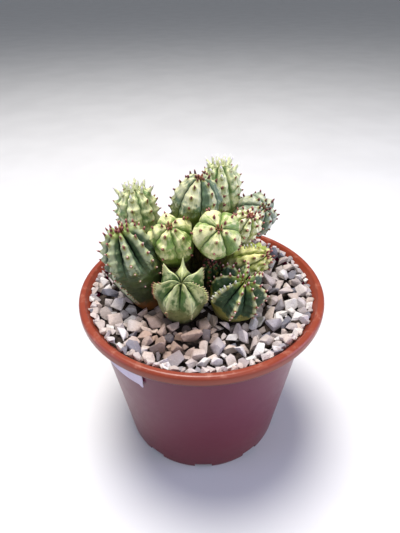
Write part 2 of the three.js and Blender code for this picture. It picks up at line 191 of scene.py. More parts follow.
def bumpOf(tree, height, depth, strength=1.0, under=None):  # depth in mm
    inputs = {"Height": height, "Distance": depth * mm, "Strength": strength}
    if under:
        inputs["Normal"] = under
    return addNode(tree, "ShaderNodeBump", inputs).outputs["Normal"]


# Camera, floor and light

studio = {
    "lensPixels": 420, "frameHeight": 533, "sensor": 36,
    "place": (-0.4, -118.2, 155.4), "pitch": 35.05, "roll": -0.64,
    "floorTone": (222, 222, 222), "floorSpan": 5000, "worldTone": (235, 240, 250), "worldStrength": 0.27,
    "exposure": 0.0,
    "lights": {  # place in metres, height aimed at, size, power and tone
        "windowLight": ((-0.07, 0.1, 0.75), 0.06, 0.34, 7.2, (255, 251, 245)),
        "frontFill": ((0.35, -0.6, 0.5), 0.06, 0.6, 1.5, (240, 244, 255)),
        "leftGlow": ((-0.5, -0.1, 0.2), 0.05, 0.4, 1.0, (204, 208, 255)),
        "rightGlow": ((0.5, -0.1, 0.15), 0.04, 0.4, 1.8, (204, 208, 255))},
}


def addCamera():
    data = bpy.data.cameras.new("photoCamera")
    data.sensor_width = studio["sensor"]
    data.lens = studio["lensPixels"] / studio["frameHeight"] * studio["sensor"]
    data.clip_start, data.clip_end = 0.005, 20
    camera = bpy.data.objects.new("photoCamera", data)
    bpy.context.scene.collection.objects.link(camera)
    tilt = Matrix.Rotation(math.radians(90 - studio["pitch"]), 4, "X")
    roll = Matrix.Rotation(math.radians(studio["roll"]), 4, "Z")
    camera.matrix_world = Matrix.Translation(Vector(studio["place"]) * mm) @ tilt @ roll
    bpy.context.scene.camera = camera


def addSoftLight(name, place, aim, size, power, tone):
    data = bpy.data.lights.new(name, "AREA")
    data.shape, data.size = "DISK", size
    data.energy, data.color = power, paint(*tone)[:3]
    light = bpy.data.objects.new(name, data)
    bpy.context.scene.collection.objects.link(light)
    light.location = place
    light.rotation_euler = (Vector((0, 0, aim)) - Vector(place)).to_track_quat("-Z", "Y").to_euler()


def addStudio():
    scene = bpy.context.scene
    scene.view_settings.view_transform = "Standard"
    scene.view_settings.exposure = studio["exposure"]
    world = bpy.data.worlds.new("paleRoom")
    scene.world = world
    world.use_nodes = True
    background = world.node_tree.nodes["Background"]
    background.inputs["Color"].default_value = paint(*studio["worldTone"])
    background.inputs["Strength"].default_value = studio["worldStrength"]
    for name, light in studio["lights"].items():
        addSoftLight(name, *light)
    span = studio["floorSpan"]
    corners = [(-span, -span, 0), (span, -span, 0), (span, span, 0), (-span, span, 0)]
    floor = makePiece("floor", corners, [(0, 1, 2, 3)])
    material, tree, shader = newMaterial("paleFloor", 0.7)
    mottle = noiseOf(tree, objectCoords(tree), 60, 2)
    tone = mixOf(tree, stepOf(tree, mottle, 0.3, 0.7), paint(*studio["floorTone"]),
                 paint(*(c - 5 for c in studio["floorTone"])))
    tree.links.new(tone, shader.inputs["Base Color"])
    floor.data.materials.append(material)


addCamera()
addStudio()
print("studio ready")


# Pot

pot = {
    "height": 65, "rimRadius": 42.5, "rimInner": 40, "rimUnder": 61.1, "rimRound": 1.2,
    "wallTop": 38.3, "baseRadius": 30.6, "wall": 1.0,
    "flareStart": 59, "flareHeight": 62.2, "flareRadius": 38.4,
    "collarHeight": 56.3, "collarStep": 0.35,
    "footInner": 28.2, "footRound": 1.3, "floorUnder": 2.4, "floorThick": 1.2, "fillet": 0.8,
    "sides": 180,
    "slots": 10, "slotWidth": 6.5, "slotHeight": 2.5, "slotInner": 25.8, "slotLength": 8,
    "floorCut": 2.4,
    "wallTone": (96, 12, 48), "rimLitTone": (138, 60, 40), "lowTone": (96, 12, 26),
    "duskTone": (74, 10, 34), "lipShadeTone": (46, 4, 4), "speckTone": (44, 14, 20), "dustTone": (206, 150, 128),
}


def wallRadius(height):
    rise = (pot["wallTop"] - pot["baseRadius"]) / pot["rimUnder"]
    return pot["baseRadius"] + rise * height


def innerRadius(height):
    return wallRadius(height) - pot["wall"]


def arc(centre, radius, start, end, steps):  # points of a quarter or half turn, in degrees
    turns = np.radians(np.linspace(start, end, steps))
    return [(centre[0] + radius * math.cos(t), centre[1] + radius * math.sin(t)) for t in turns]


def potOutline():
    foot, top, rim = pot["footRound"], pot["height"], pot["rimRound"]
    floorTop = pot["floorUnder"] + pot["floorThick"]
    footCentre = wallRadius(foot) - foot
    line = [(0, pot["floorUnder"]), (pot["footInner"] - 0.5, pot["floorUnder"])]
    line += [(pot["footInner"], pot["floorUnder"] - 0.5), (pot["footInner"], 0.2)]
    line += [(pot["footInner"] + 0.2, 0)] + arc((footCentre, foot), foot, -90, 0, 6)
    collar, step = pot["collarHeight"], pot["collarStep"]
    line += [(wallRadius(h), h) for h in np.linspace(5, collar - 0.5, 12)]
    line += [(wallRadius(collar), collar), (wallRadius(collar) + 0.5 * step, collar + 0.25 * step)]
    line += [(wallRadius(collar) + step, collar + step)]
    under = pot["rimUnder"]
    line += [(wallRadius(under) + step, under - 0.5), (wallRadius(under) + step + 0.4, under)]
    line += arc((pot["rimRadius"] - rim, under + rim), rim, -90, 0, 6)
    line += arc((pot["rimRadius"] - rim, top - rim), rim, 0, 90, 7)
    line += [(pot["rimInner"] + 0.35, top - 0.12), (pot["rimInner"], top - 0.5)]
    line += [(pot["rimInner"] - 0.5, top - 1.5), (pot["flareRadius"], pot["flareHeight"])]
    line += [(innerRadius(pot["flareStart"]), pot["flareStart"])]
    line += [(innerRadius(h), h) for h in np.linspace(50, floorTop + 2, 6)]
    line += [(innerRadius(floorTop + pot["fillet"]), floorTop + pot["fillet"])]
    line += [(innerRadius(floorTop) - pot["fillet"], floorTop), (0, floorTop)]
    return np.array(line)


def turnedMesh(line, sides):  # closed lathe of (radius, height) points that starts and ends on the axis
    turns = np.arange(sides) * 2 * math.pi / sides
    ring = line[1:-1]
    grid = np.stack([ring[:, :1] * np.cos(turns), ring[:, :1] * np.sin(turns),
                     np.repeat(ring[:, 1:], sides, 1)], -1)
    points = np.concatenate([grid.reshape(-1, 3), [[0, 0, line[0, 1]], [0, 0, line[-1, 1]]]])
    faces = gridFaces(len(ring), sides).tolist()
    first, last = len(points) - 2, len(points) - 1
    end = (len(ring) - 1) * sides
    for i in range(sides):
        after = (i + 1) % sides
        faces.append([first, after, i])
        faces.append([last, end + i, end + after])
    return points, faces


def boxPiece(name, low, high, turn):
    corners = [(x, y, z) for x in (low[0], high[0]) for y in (low[1], high[1])
               for z in (low[2], high[2])]
    faces = [(0, 1, 3, 2), (4, 6, 7, 5), (0, 4, 5, 1), (2, 3, 7, 6), (0, 2, 6, 4), (1, 5, 7, 3)]
    cos, sin = math.cos(turn), math.sin(turn)
    points = [(x * cos - y * sin, x * sin + y * cos, z) for x, y, z in corners]
    return makePiece(name, points, faces)


def cutAway(piece, cutters):
    for cutter in cutters:
        modifier = piece.modifiers.new("cut", "BOOLEAN")
        modifier.operation, modifier.solver, modifier.object = "DIFFERENCE", "EXACT", cutter
    bpy.context.view_layer.update()
    shaped = piece.evaluated_get(bpy.context.evaluated_depsgraph_get())
    mesh = bpy.data.meshes.new_from_object(shaped)
    piece.modifiers.clear()
    piece.data = mesh
    for cutter in cutters:
        bpy.data.objects.remove(cutter)


def potMaterial():
    material, tree, shader = newMaterial("redBrownPlastic", 0.34, Specular_IOR_Level=0.36)
    coords = objectCoords(tree)
    height = addNode(tree, "ShaderNodeSeparateXYZ", {"Vector": coords}).outputs["Z"]
    tones = ("lowTone", "wallTone", "lipShadeTone", "rimLitTone", "duskTone", "speckTone", "dustTone")
    low, wall, lipShade, rim, dusk, speck, dusty = (paint(*pot[tone]) for tone in tones)
    side = mixOf(tree, stepOf(tree, height, 0.0, 0.05), low, wall)
    # painted shade: a thin dark red band under the rim (lipShadeTone) stands in for the shadow below the lip;
    # painted light: the rim above is painted a lighter orange (rimLitTone) than the wall, though it is the
    # same plastic
    edge = mixOf(tree, stepOf(tree, height, 0.0613, 0.0628), lipShade, rim)
    colour = mixOf(tree, stepOf(tree, height, 0.0606, 0.0622), side, edge)
    cloud = noiseOf(tree, coords, 14, 4)
    colour = mixOf(tree, stepOf(tree, cloud, 0.35, 0.75, 0.0, 0.1), colour, dusk)
    specks = noiseOf(tree, coords, 0.9, 2, 0.4)
    colour = mixOf(tree, stepOf(tree, specks, 0.8, 0.86, 0.0, 0.25), colour, speck)
    dust = calc(tree, "MULTIPLY", noiseOf(tree, coords, 5, 5, 0.7), stepOf(tree, height, 0.0636, 0.0646))
    colour = mixOf(tree, stepOf(tree, dust, 0.52, 0.7, 0.0, 0.3), colour, dusty)
    tree.links.new(colour, shader.inputs["Base Color"])
    sheen = stepOf(tree, noiseOf(tree, coords, 3, 4), 0.3, 0.7, 0.3, 0.34)
    tree.links.new(sheen, shader.inputs["Roughness"])
    grain = noiseOf(tree, coords, 0.35, 2)
    rings = noiseOf(tree, objectCoords(tree, (0.02, 0.02, 1)), 1.2, 2)
    normal = bumpOf(tree, rings, 0.04, 0.2, bumpOf(tree, grain, 0.03, 0.15))
    tree.links.new(normal, shader.inputs["Normal"])
    return material


def buildPot():
    points, faces = turnedMesh(potOutline(), pot["sides"])
    piece = makePiece("pot_shell", points, faces)
    cutters = []
    for i in range(pot["slots"]):
        turn = -math.pi / 2 + i * 2 * math.pi / pot["slots"]
        inner, half = pot["slotInner"], pot["slotWidth"] / 2
        cutters.append(boxPiece("cutWall", (inner, -half, -pot["slotHeight"]),
                                (inner + pot["slotLength"], half, pot["slotHeight"]), turn))
        cutters.append(boxPiece("cutFloor", (inner, -half, -1),
                                (inner + pot["floorCut"], half, 5), turn))
    cutAway(piece, cutters)
    piece.data.shade_smooth()
    piece.data.set_sharp_from_angle(angle=math.radians(38))
    settle(piece, potMaterial(), "pot_plastic", "pot")


buildPot()
print("pot ready")


# Label

label = {
    "start": -165, "end": -119, "bottom": 50.3, "top": 60.3, "thick": 0.35, "gap": 0.3,
    "across": 48, "up": 12, "curl": 0.5,
    "tone": (206, 196, 212), "agedTone": (178, 164, 180), "fibreTone": (150, 140, 150),
}


def buildLabel():
    across, up = label["across"], label["up"]
    around = np.linspace(0, 1, across + 1)[None, :]
    rise = np.linspace(0, 1, up + 1)[:, None]
    height = label["bottom"] + (label["top"] - label["bottom"]) * rise + 0 * around
    turn = np.radians(label["start"] + (label["end"] - label["start"]) * around + 0 * rise)
    collar = np.where(height > pot["collarHeight"], pot["collarStep"], 0)
    curl = label["curl"] * smoothStep(around, 0.93, 1.0) * smoothStep(1 - rise, 0.6, 1.0)
    layers = []
    for lift in (0, label["thick"]):
        radius = wallRadius(height) + collar + label["gap"] + lift + curl
        layer = np.stack([radius * np.cos(turn), radius * np.sin(turn), height], -1)
        layers.append(layer.reshape(-1, 3))
    points = np.concatenate(layers)
    count, faces = len(layers[0]), []
    for row in range(up):
        for column in range(across):
            a = row * (across + 1) + column
            b, c, d = a + 1, a + across + 2, a + across + 1
            faces += [(a, d, c, b), (count + a, count + b, count + c, count + d)]
    edge = [row * (across + 1) for row in range(up)]
    edge += [up * (across + 1) + column for column in range(across)]
    edge += [row * (across + 1) + across for row in range(up, 0, -1)]
    edge += list(range(across, 0, -1))
    for here, after in zip(edge, edge[1:] + edge[:1]):
        faces.append((here, count + here, count + after, after))
    piece = makePiece("label_paper", points, faces, sharpAngle=40)
    material, tree, shader = newMaterial("agedPaper", 0.75)
    coords = objectCoords(tree)
    fibre = noiseOf(tree, coords, 0.6, 4, 0.7)
    stain = noiseOf(tree, coords, 6, 3)
    tone, aged, fibreTone = (paint(*label[key]) for key in ("tone", "agedTone", "fibreTone"))
    colour = mixOf(tree, stepOf(tree, stain, 0.4, 0.8, 0, 0.6), tone, aged)
    colour = mixOf(tree, stepOf(tree, fibre, 0.3, 0.8, 0, 0.2), colour, fibreTone)
    tree.links.new(colour, shader.inputs["Base Color"])
    tree.links.new(bumpOf(tree, fibre, 0.05, 0.5), shader.inputs["Normal"])
    settle(piece, material, "label_paper", "label")


buildLabel()
print("label ready")


# Heads of the plant

skinForm = {
    "flank": 0.9, "crown": 0.833, "taper": 1.1, "furrowDepth": 0.32, "furrowWidth": 0.34, "wander": 0.14,
    "nipple": 0.6, "nippleWidth": 0.28, "nippleRest": 0.25, "aboveTip": 0.17, "belowTip": 0.32,
    "cushion": 0.55, "cushionWidth": 0.75, "cushionRest": 0.4, "ridgeWidth": 0.16, "eyeWidth": 0.75,
    "columnStep": 0.2, "rowStep": 0.27, "crowding": 0.85, "swell": 0.2, "ripple": 0.06,
    "scar": (88, 50, 28), "fresh": (160, 182, 104), "eyeRing": (142, 142, 58), "eye": (98, 48, 32),
}

# root, lean, heading, length, radius, ribs, spin, neck and belly place and shape each head.
# spacing is the step between tubercles, bump their height, crest the roundness of a rib, zigzag the
# furrows' sway, depth the furrows' depth as a share of the radius and ribFrom where it starts and is full.
# crownOpen is the share of that depth left at the crown, dimple how far the crown sinks in, line the
# width of the furrow's dark line and twist how far the foot is turned, in ribs.
# shifts turn single ribs by a share of a rib; flanks are (rib, side, from, to, change), paler above 0;
# ridges are (rib, from, to, height) sharp crests; horns are (rib, along, length, spread to each side);
# teeth are (rib, style, from, to, step) rows on a crest; tuft is the style of the stubs on the crown.
plainHead = {
    "neck": 0.62, "belly": 0.6, "zigzag": 0.02, "ribFrom": (0.25, 0.6), "crownOpen": 0.25, "dimple": 0.05,
    "line": 0.2, "twist": 0, "shifts": {}, "flanks": [], "ridges": [], "horns": [], "teeth": [], "tuft": None,
}
headForms = {
    "head_front": {
        "root": (-7, -7.5, 58.7), "lean": 22, "heading": -84, "length": 22, "radius": 8, "ribs": 7,
        "spin": 27, "spacing": 2.4, "bump": 0.05, "crest": 1.1, "zigzag": 0.0, "depth": 0.34,
        "ribFrom": (0.32, 0.8), "crownOpen": 0.9, "dimple": 0.13, "line": 0.4, "look": "horned",
        "flanks": [(1, 1, 0.5, 0.84, 0.7), (1, -1, 0.5, 0.84, 0.6), (0, 1, 0.5, 0.8, 0.3),
                   (2, -1, 0.5, 0.8, 0.5), (4, 1, 0.4, 0.7, 0.2), (5, -1, 0.4, 0.7, 0.2),
                   (6, -1, 0.5, 0.9, 0.3)],
        "ridges": [(3, 0.36, 0.9, 0.5), (4, 0.42, 0.98, 0.45), (5, 0.3, 0.98, 0.5), (6, 0.42, 0.9, 0.5)],
        "horns": [(1, 0.72, 4.8, 0.15), (2, 0.7, 3.6, 0.35), (3, 0.67, 1.8, 0.8), (0, 0.69, 3.6, 0.3),
                  (6, 0.72, 0.9, 0.9), (5, 0.86, 1.2, 0.5), (4, 0.84, 1.1, 0.6)],
        "teeth": [(3, "brownTooth", 0.36, 0.72, 1.0), (6, "tooth", 0.42, 0.84, 0.9),
                  (2, "tooth", 0.5, 0.66, 1.0), (0, "tooth", 0.5, 0.66, 1.0),
                  (5, "tooth", 0.32, 0.5, 1.2), (4, "brownTooth", 0.34, 0.5, 1.3)]},
    "head_front_right": {
        "root": (9.5, -6, 59), "lean": 28, "heading": -66, "length": 22, "radius": 8.8, "ribs": 8,
        "spin": 10, "spacing": 3.1, "bump": 0.6, "crest": 1.15, "depth": 0.33, "ribFrom": (0.3, 0.66),
        "crownOpen": 0.7, "line": 0.35, "look": "darkEdged", "shifts": {4: -0.28, 3: -0.12},
        "flanks": [(4, 1, 0.4, 0.8, -0.4), (5, -1, 0.4, 0.8, -0.3), (5, 1, 0.4, 0.9, -0.4),
                   (3, 1, 0.4, 0.9, -0.4)],
        "ridges": [(4, 0.36, 0.95, 0.35), (5, 0.4, 0.95, 0.35), (6, 0.4, 0.95, 0.35)],
        "teeth": [(4, "whiteTooth", 0.5, 0.86, 1.7)]},
    "head_front_left": {
        "root": (-18, -2.4, 59.1), "lean": 14, "heading": -168, "length": 32.5, "radius": 9, "ribs": 8,
        "spin": 44, "neck": 0.48, "belly": 0.62, "spacing": 3.1, "bump": 0.9, "crest": 1.7,
        "depth": 0.42, "ribFrom": (0.4, 0.62), "crownOpen": 0.75, "line": 0.5, "twist": 0.4,
        "look": "greyGreen", "tuft": "dried", "flanks": [(6, -1, 0.1, 0.48, 1.2)],
        "teeth": [(6, "brownTooth", 0.12, 0.48, 1.1)]},
    "head_centre": {
        "root": (4.5, 3, 80.3), "lean": 46, "heading": -86, "length": 19, "radius": 7.6, "ribs": 5,
        "spin": 40, "spacing": 4.2, "bump": 0.7, "crest": 2.8, "depth": 0.13, "look": "cream",
        "tuft": "dried",
        "flanks": [(4, -1, 0.45, 0.85, -0.8), (2, 1, 0.4, 0.7, 0.3), (3, 1, 0.3, 0.5, -0.6)]},
    "head_middle_left": {
        "root": (-9, 5, 73.3), "lean": 28, "heading": -95, "length": 20, "radius": 7.4, "ribs": 5,
        "spin": 39, "spacing": 4.0, "bump": 1.2, "crest": 2.4, "zigzag": 0.03, "depth": 0.14,
        "look": "cream", "tuft": "dried", "flanks": [(3, -1, 0.4, 0.75, -0.6), (4, 1, 0.3, 0.7, -0.5)]},
    "head_shaded": {
        "root": (3, 0.5, 63.5), "lean": 24, "heading": -87, "length": 16, "radius": 3.6, "ribs": 6,
        "spin": 10, "spacing": 2.8, "bump": 0.25, "crest": 1.7, "zigzag": 0.03, "depth": 0.14,
        "look": "deepShade"},
    "head_bud_right": {
        "root": (13, 13, 74), "lean": 30, "heading": -65, "length": 18, "radius": 5.1, "ribs": 8,
        "spin": 12, "spacing": 3.2, "bump": 0.9, "crest": 1.8, "zigzag": 0.04, "depth": 0.16,
        "look": "paintedLightCream", "tuft": "dried"},
    "head_low_right": {
        "root": (6.5, 5.5, 67.3), "lean": 56, "heading": -30, "length": 22, "radius": 5.6, "ribs": 7,
        "spin": 2, "spacing": 3.3, "bump": 0.9, "crest": 1.8, "zigzag": 0.04, "depth": 0.17,
        "look": "yellowGreen", "teeth": [(2, "whiteTooth", 0.28, 0.72, 1.3)]},
    "head_right": {
        "root": (15.2, 26.7, 73.7), "lean": 46, "heading": -53, "length": 19, "radius": 7.8, "ribs": 7,
        "spin": 12, "neck": 0.65, "spacing": 3.2, "bump": 0.6, "crest": 1.7, "depth": 0.12,
        "look": "silver"},
    "head_tall": {
        "root": (-3, 12, 74.5), "lean": 10, "heading": -50, "length": 28, "radius": 8.6, "ribs": 6,
        "spin": 26, "belly": 0.55, "spacing": 3.3, "bump": 0.65, "crest": 1.6, "depth": 0.17, "line": 0.3,
        "look": "paleGreen", "tuft": "dried",
        "flanks": [(3, -1, 0.6, 0.95, 0.6), (3, 1, 0.6, 0.95, 0.7), (4, -1, 0.6, 0.92, -0.8),
                   (4, 1, 0.5, 0.9, 0.4)]},
    "head_back_left": {
        "root": (-21, 13.5, 72), "lean": 4, "heading": -150, "length": 25, "radius": 7.1, "ribs": 8,
        "spin": 14, "neck": 0.7, "spacing": 3.5, "bump": 1.25, "crest": 1.8, "zigzag": 0.05, "depth": 0.13,
        "look": "youngPale"},
    "head_rear": {
        "root": (8.5, 26.5, 74), "lean": 7, "heading": -120, "length": 27, "radius": 7.4, "ribs": 8,
        "spin": 36, "spacing": 3.2, "bump": 0.8, "crest": 1.9, "depth": 0.15, "look": "youngPale"},
}
heads = {name: {**plainHead, **form} for name, form in headForms.items()}

# pale is the share of cream; edge how far crests turn pale, from crestFrom on; low how far the part
# below lowAt turns olive; line how dark the furrows are, partly painted shade, and band how far their sides
# turn green, partly painted shade; scars the share of brown cross scars low down; young how far the crown
# turns fresh green, and crownFrom where painted shade starts to darken the sunken crown. stub and crownStub
# are the styles of the dried stubs.
plainLook = {
    "edge": 0.3, "band": 0.5, "scars": 0.1, "young": 0, "crestFrom": 0.7, "crownFrom": 0.95,
    "foot": (116, 96, 58), "stub": "red", "crownStub": "red",
}
lookForms = {
    "cream": {
        "cream": (222, 220, 164), "green": (124, 152, 78), "deep": (48, 76, 36), "olive": (112, 132, 46),
        "pale": 0.78, "low": 0.85, "lowAt": 0.44, "line": 0.65, "band": 0.65, "scars": 0.2},
    # painted light: a brightened copy of the cream look for the bud head, painted lighter to make up for the
    # shade it sits in
    "paintedLightCream": {
        "cream": (250, 244, 206), "green": (154, 174, 96), "deep": (56, 80, 40), "olive": (124, 136, 52),
        "pale": 1.0, "edge": 0.4, "low": 0.5, "lowAt": 0.36, "line": 0.6, "band": 0.4},
    "paleGreen": {
        "cream": (206, 206, 162), "green": (98, 120, 92), "deep": (32, 54, 34), "olive": (88, 100, 34),
        "pale": 0.6, "low": 0.95, "lowAt": 0.55, "line": 0.85, "crestFrom": 0.6, "band": 0.6, "scars": 0.2,
        "stub": "darkRed", "crownStub": "darkRed"},
    "youngPale": {
        "cream": (222, 224, 174), "green": (112, 140, 84), "deep": (42, 70, 38), "olive": (110, 124, 54),
        "pale": 0.78, "edge": 0.35, "low": 0.7, "lowAt": 0.34, "line": 0.55,
        "stub": "paleRed", "crownStub": "white"},
    "greyGreen": {
        "cream": (188, 196, 154), "green": (76, 98, 68), "deep": (14, 28, 20), "olive": (66, 78, 36),
        "pale": 0.24, "young": 0.8, "foot": (150, 92, 40), "edge": 0.7, "low": 0.9, "lowAt": 0.5,
        "line": 0.95, "crestFrom": 0.4, "band": 0.7, "scars": 0.5, "stub": "redWhite"},
    "silver": {
        "cream": (192, 196, 172), "green": (104, 122, 98), "deep": (34, 54, 38), "olive": (70, 84, 46),
        "pale": 0.72, "edge": 0.2, "low": 0.6, "lowAt": 0.3, "line": 0.8, "band": 0.4,
        "stub": "darkRed", "crownStub": "darkRed"},
    "yellowGreen": {
        "cream": (218, 214, 150), "green": (146, 160, 72), "deep": (56, 74, 28), "olive": (128, 130, 44),
        "pale": 0.78, "edge": 0.4, "low": 0.6, "lowAt": 0.36, "line": 0.6, "scars": 0.3},
    "darkEdged": {
        "cream": (214, 214, 166), "green": (68, 96, 64), "deep": (18, 36, 24), "olive": (150, 146, 72),
        "pale": 0.26, "young": 0.85, "edge": 0.85, "low": 0.95, "lowAt": 0.42, "line": 0.9,
        "crestFrom": 0.72, "band": 0.7, "scars": 0.6, "stub": "redWhite", "crownStub": "redWhite"},
    "horned": {
        "cream": (216, 220, 162), "green": (88, 118, 60), "deep": (20, 46, 24), "olive": (140, 142, 88),
        "pale": 0.55, "edge": 0.9, "low": 0.8, "lowAt": 0.5, "line": 0.85, "crestFrom": 0.74,
        "crownFrom": 0.84, "band": 0.7, "scars": 1.0, "stub": None, "crownStub": None},
    # painted shade: a darkened copy of the flesh look for the head that sits in the shadow of the others
    "deepShade": {
        "cream": (84, 98, 54), "green": (40, 60, 36), "deep": (16, 28, 18), "olive": (44, 50, 22),
        "pale": 0.2, "low": 0.5, "lowAt": 0.4, "line": 0.8, "scars": 0.2,
        "stub": "darkRed", "crownStub": "darkRed"},
}
looks = {name: {**plainLook, **form} for name, form in lookForms.items()}

# Dried stubs: tones at root and tip, thickness and length in mm, and how far they narrow.
stubRows = {
    "red": ((106, 38, 42), (184, 120, 112), 0.38, 0.7, 0.35),
    "darkRed": ((70, 24, 28), (126, 66, 60), 0.42, 0.7, 0.3),
    "paleRed": ((112, 66, 46), (160, 108, 92), 0.34, 0.5, 0.3),
    "redWhite": ((134, 46, 52), (226, 192, 182), 0.36, 0.75, 0.35),
    "white": ((222, 226, 182), (254, 246, 252), 0.66, 1.8, 0.6),
    "tooth": ((196, 204, 140), (214, 190, 150), 0.4, 0.9, 0.7),
    "brownTooth": ((170, 160, 110), (136, 76, 62), 0.42, 0.9, 0.6),
    "whiteTooth": ((200, 204, 170), (236, 232, 226), 0.42, 1.0, 0.55),
    "dried": ((104, 62, 36), (186, 122, 92), 0.34, 1.3, 0.5),
}
stubKeys = ("base", "tip", "radius", "length", "taper")
stubStyles = {name: dict(zip(stubKeys, row)) for name, row in stubRows.items()}

# Stubs stand on the tubercles between two heights along a head, longest at the middle one of sizes.
stubRule = {
    "most": 13, "first": 0.3, "lowest": 0.34, "highest": 0.96, "crownFrom": 0.72,
    "tuftAt": 0.95, "tuftStep": 0.02, "sizes": ([0.34, 0.6, 1], [0.75, 1, 0.85]),
    "rooted": 0.45, "clearOfStones": 62.5,
}


def barrel(along, neck, belly):  # height and radius of the bare barrel, as shares
    rise = np.clip(along / 0.5, 0, 1)
    turn = np.clip((along - 0.5) * math.pi, 0, math.pi / 2)
    domed = belly + (1 - belly) * np.sin(turn) ** skinForm["crown"]
    height = np.where(along < 0.5, belly * rise, domed)
    lower = neck + (1 - neck) * np.sin(rise * math.pi / 2) ** skinForm["flank"]
    upper = np.maximum(0, np.cos(turn)) ** skinForm["taper"]
    return height, np.where(along < 0.5, lower, upper)


def axesOf(head):
    tilt, turn = math.radians(head["lean"]), math.radians(head["heading"])
    axis = np.array([math.sin(tilt) * math.cos(turn), math.sin(tilt) * math.sin(turn), math.cos(tilt)])
    side = np.cross([0, 0, 1], axis)
    side /= np.linalg.norm(side)
    return np.stack([side, np.cross(axis, side), axis])


def toWorld(head, local):
    return np.array(head["root"]) + local @ axesOf(head)


def toLocal(head, world):
    return (world - np.array(head["root"])) @ axesOf(head).T


def nearHead(world, head, margin):  # for points in mm, shape (n, 3)
    local = toLocal(head, world)
    shares = np.linspace(0, 1, 61)
    height, out = barrel(shares, head["neck"], head["belly"])
    order = np.argsort(height)
    reach = np.interp(local[:, 2] / head["length"], height[order], out[order]) * head["radius"]
    inside = np.hypot(local[:, 0], local[:, 1]) < reach + margin
    return inside & (local[:, 2] > -margin) & (local[:, 2] < head["length"] + margin)


def pathOf(head):  # along, and the way over the skin from there up to the crown, in mm
    along = np.linspace(0, 1, 401)
    height, out = barrel(along, head["neck"], head["belly"])
    step = np.hypot(np.diff(height * head["length"]), np.diff(out * head["radius"]))
    return along, np.append(np.cumsum(step[::-1])[::-1], 0)


def beatsOf(head):  # tubercles counted from the crown down, closer together near the crown
    along, path = pathOf(head)
    middle = (path[1:] + path[:-1]) / 2
    local = head["spacing"] * (0.5 + 0.5 * smoothStep(middle, 0, 7))
    beats = np.append(np.cumsum((-np.diff(path) / local)[::-1])[::-1], 0)
    return along, beats


def ribDraw(head, rib, salt):
    rib = np.asarray(rib) % head["ribs"]
    return scatter(np.stack([rib, rib * 0 + salt, rib * 0], -1), head["length"] + head["radius"]) - 0.5


def ribOffset(head, rib):
    return 0.5 * (np.asarray(rib) % head["ribs"] % 2) + 0.2 * ribDraw(head, rib, 1)


def ribShift(head, rib):
    shift = skinForm["wander"] * ribDraw(head, rib, 2)
    for moved, turn in head["shifts"].items():
        shift = shift + turn * (np.asarray(rib) % head["ribs"] == moved)
    return shift


def zigzagOf(value):  # straight-sided wave, 1 at whole numbers and -1 half-way between
    return 1 - 4 * np.abs(value - np.round(value))


def ridgeOf(head, along, rib, across):  # height of the sharp crests
    total = np.zeros(np.broadcast(along, rib, across).shape)
    for ridgeRib, low, high, height in head["ridges"]:
        window = smoothStep(along, low, low + 0.1) * (1 - smoothStep(along, high - 0.1, high))
        total += height * window * bell(across, skinForm["ridgeWidth"]) * (rib % head["ribs"] == ridgeRib)
    return total


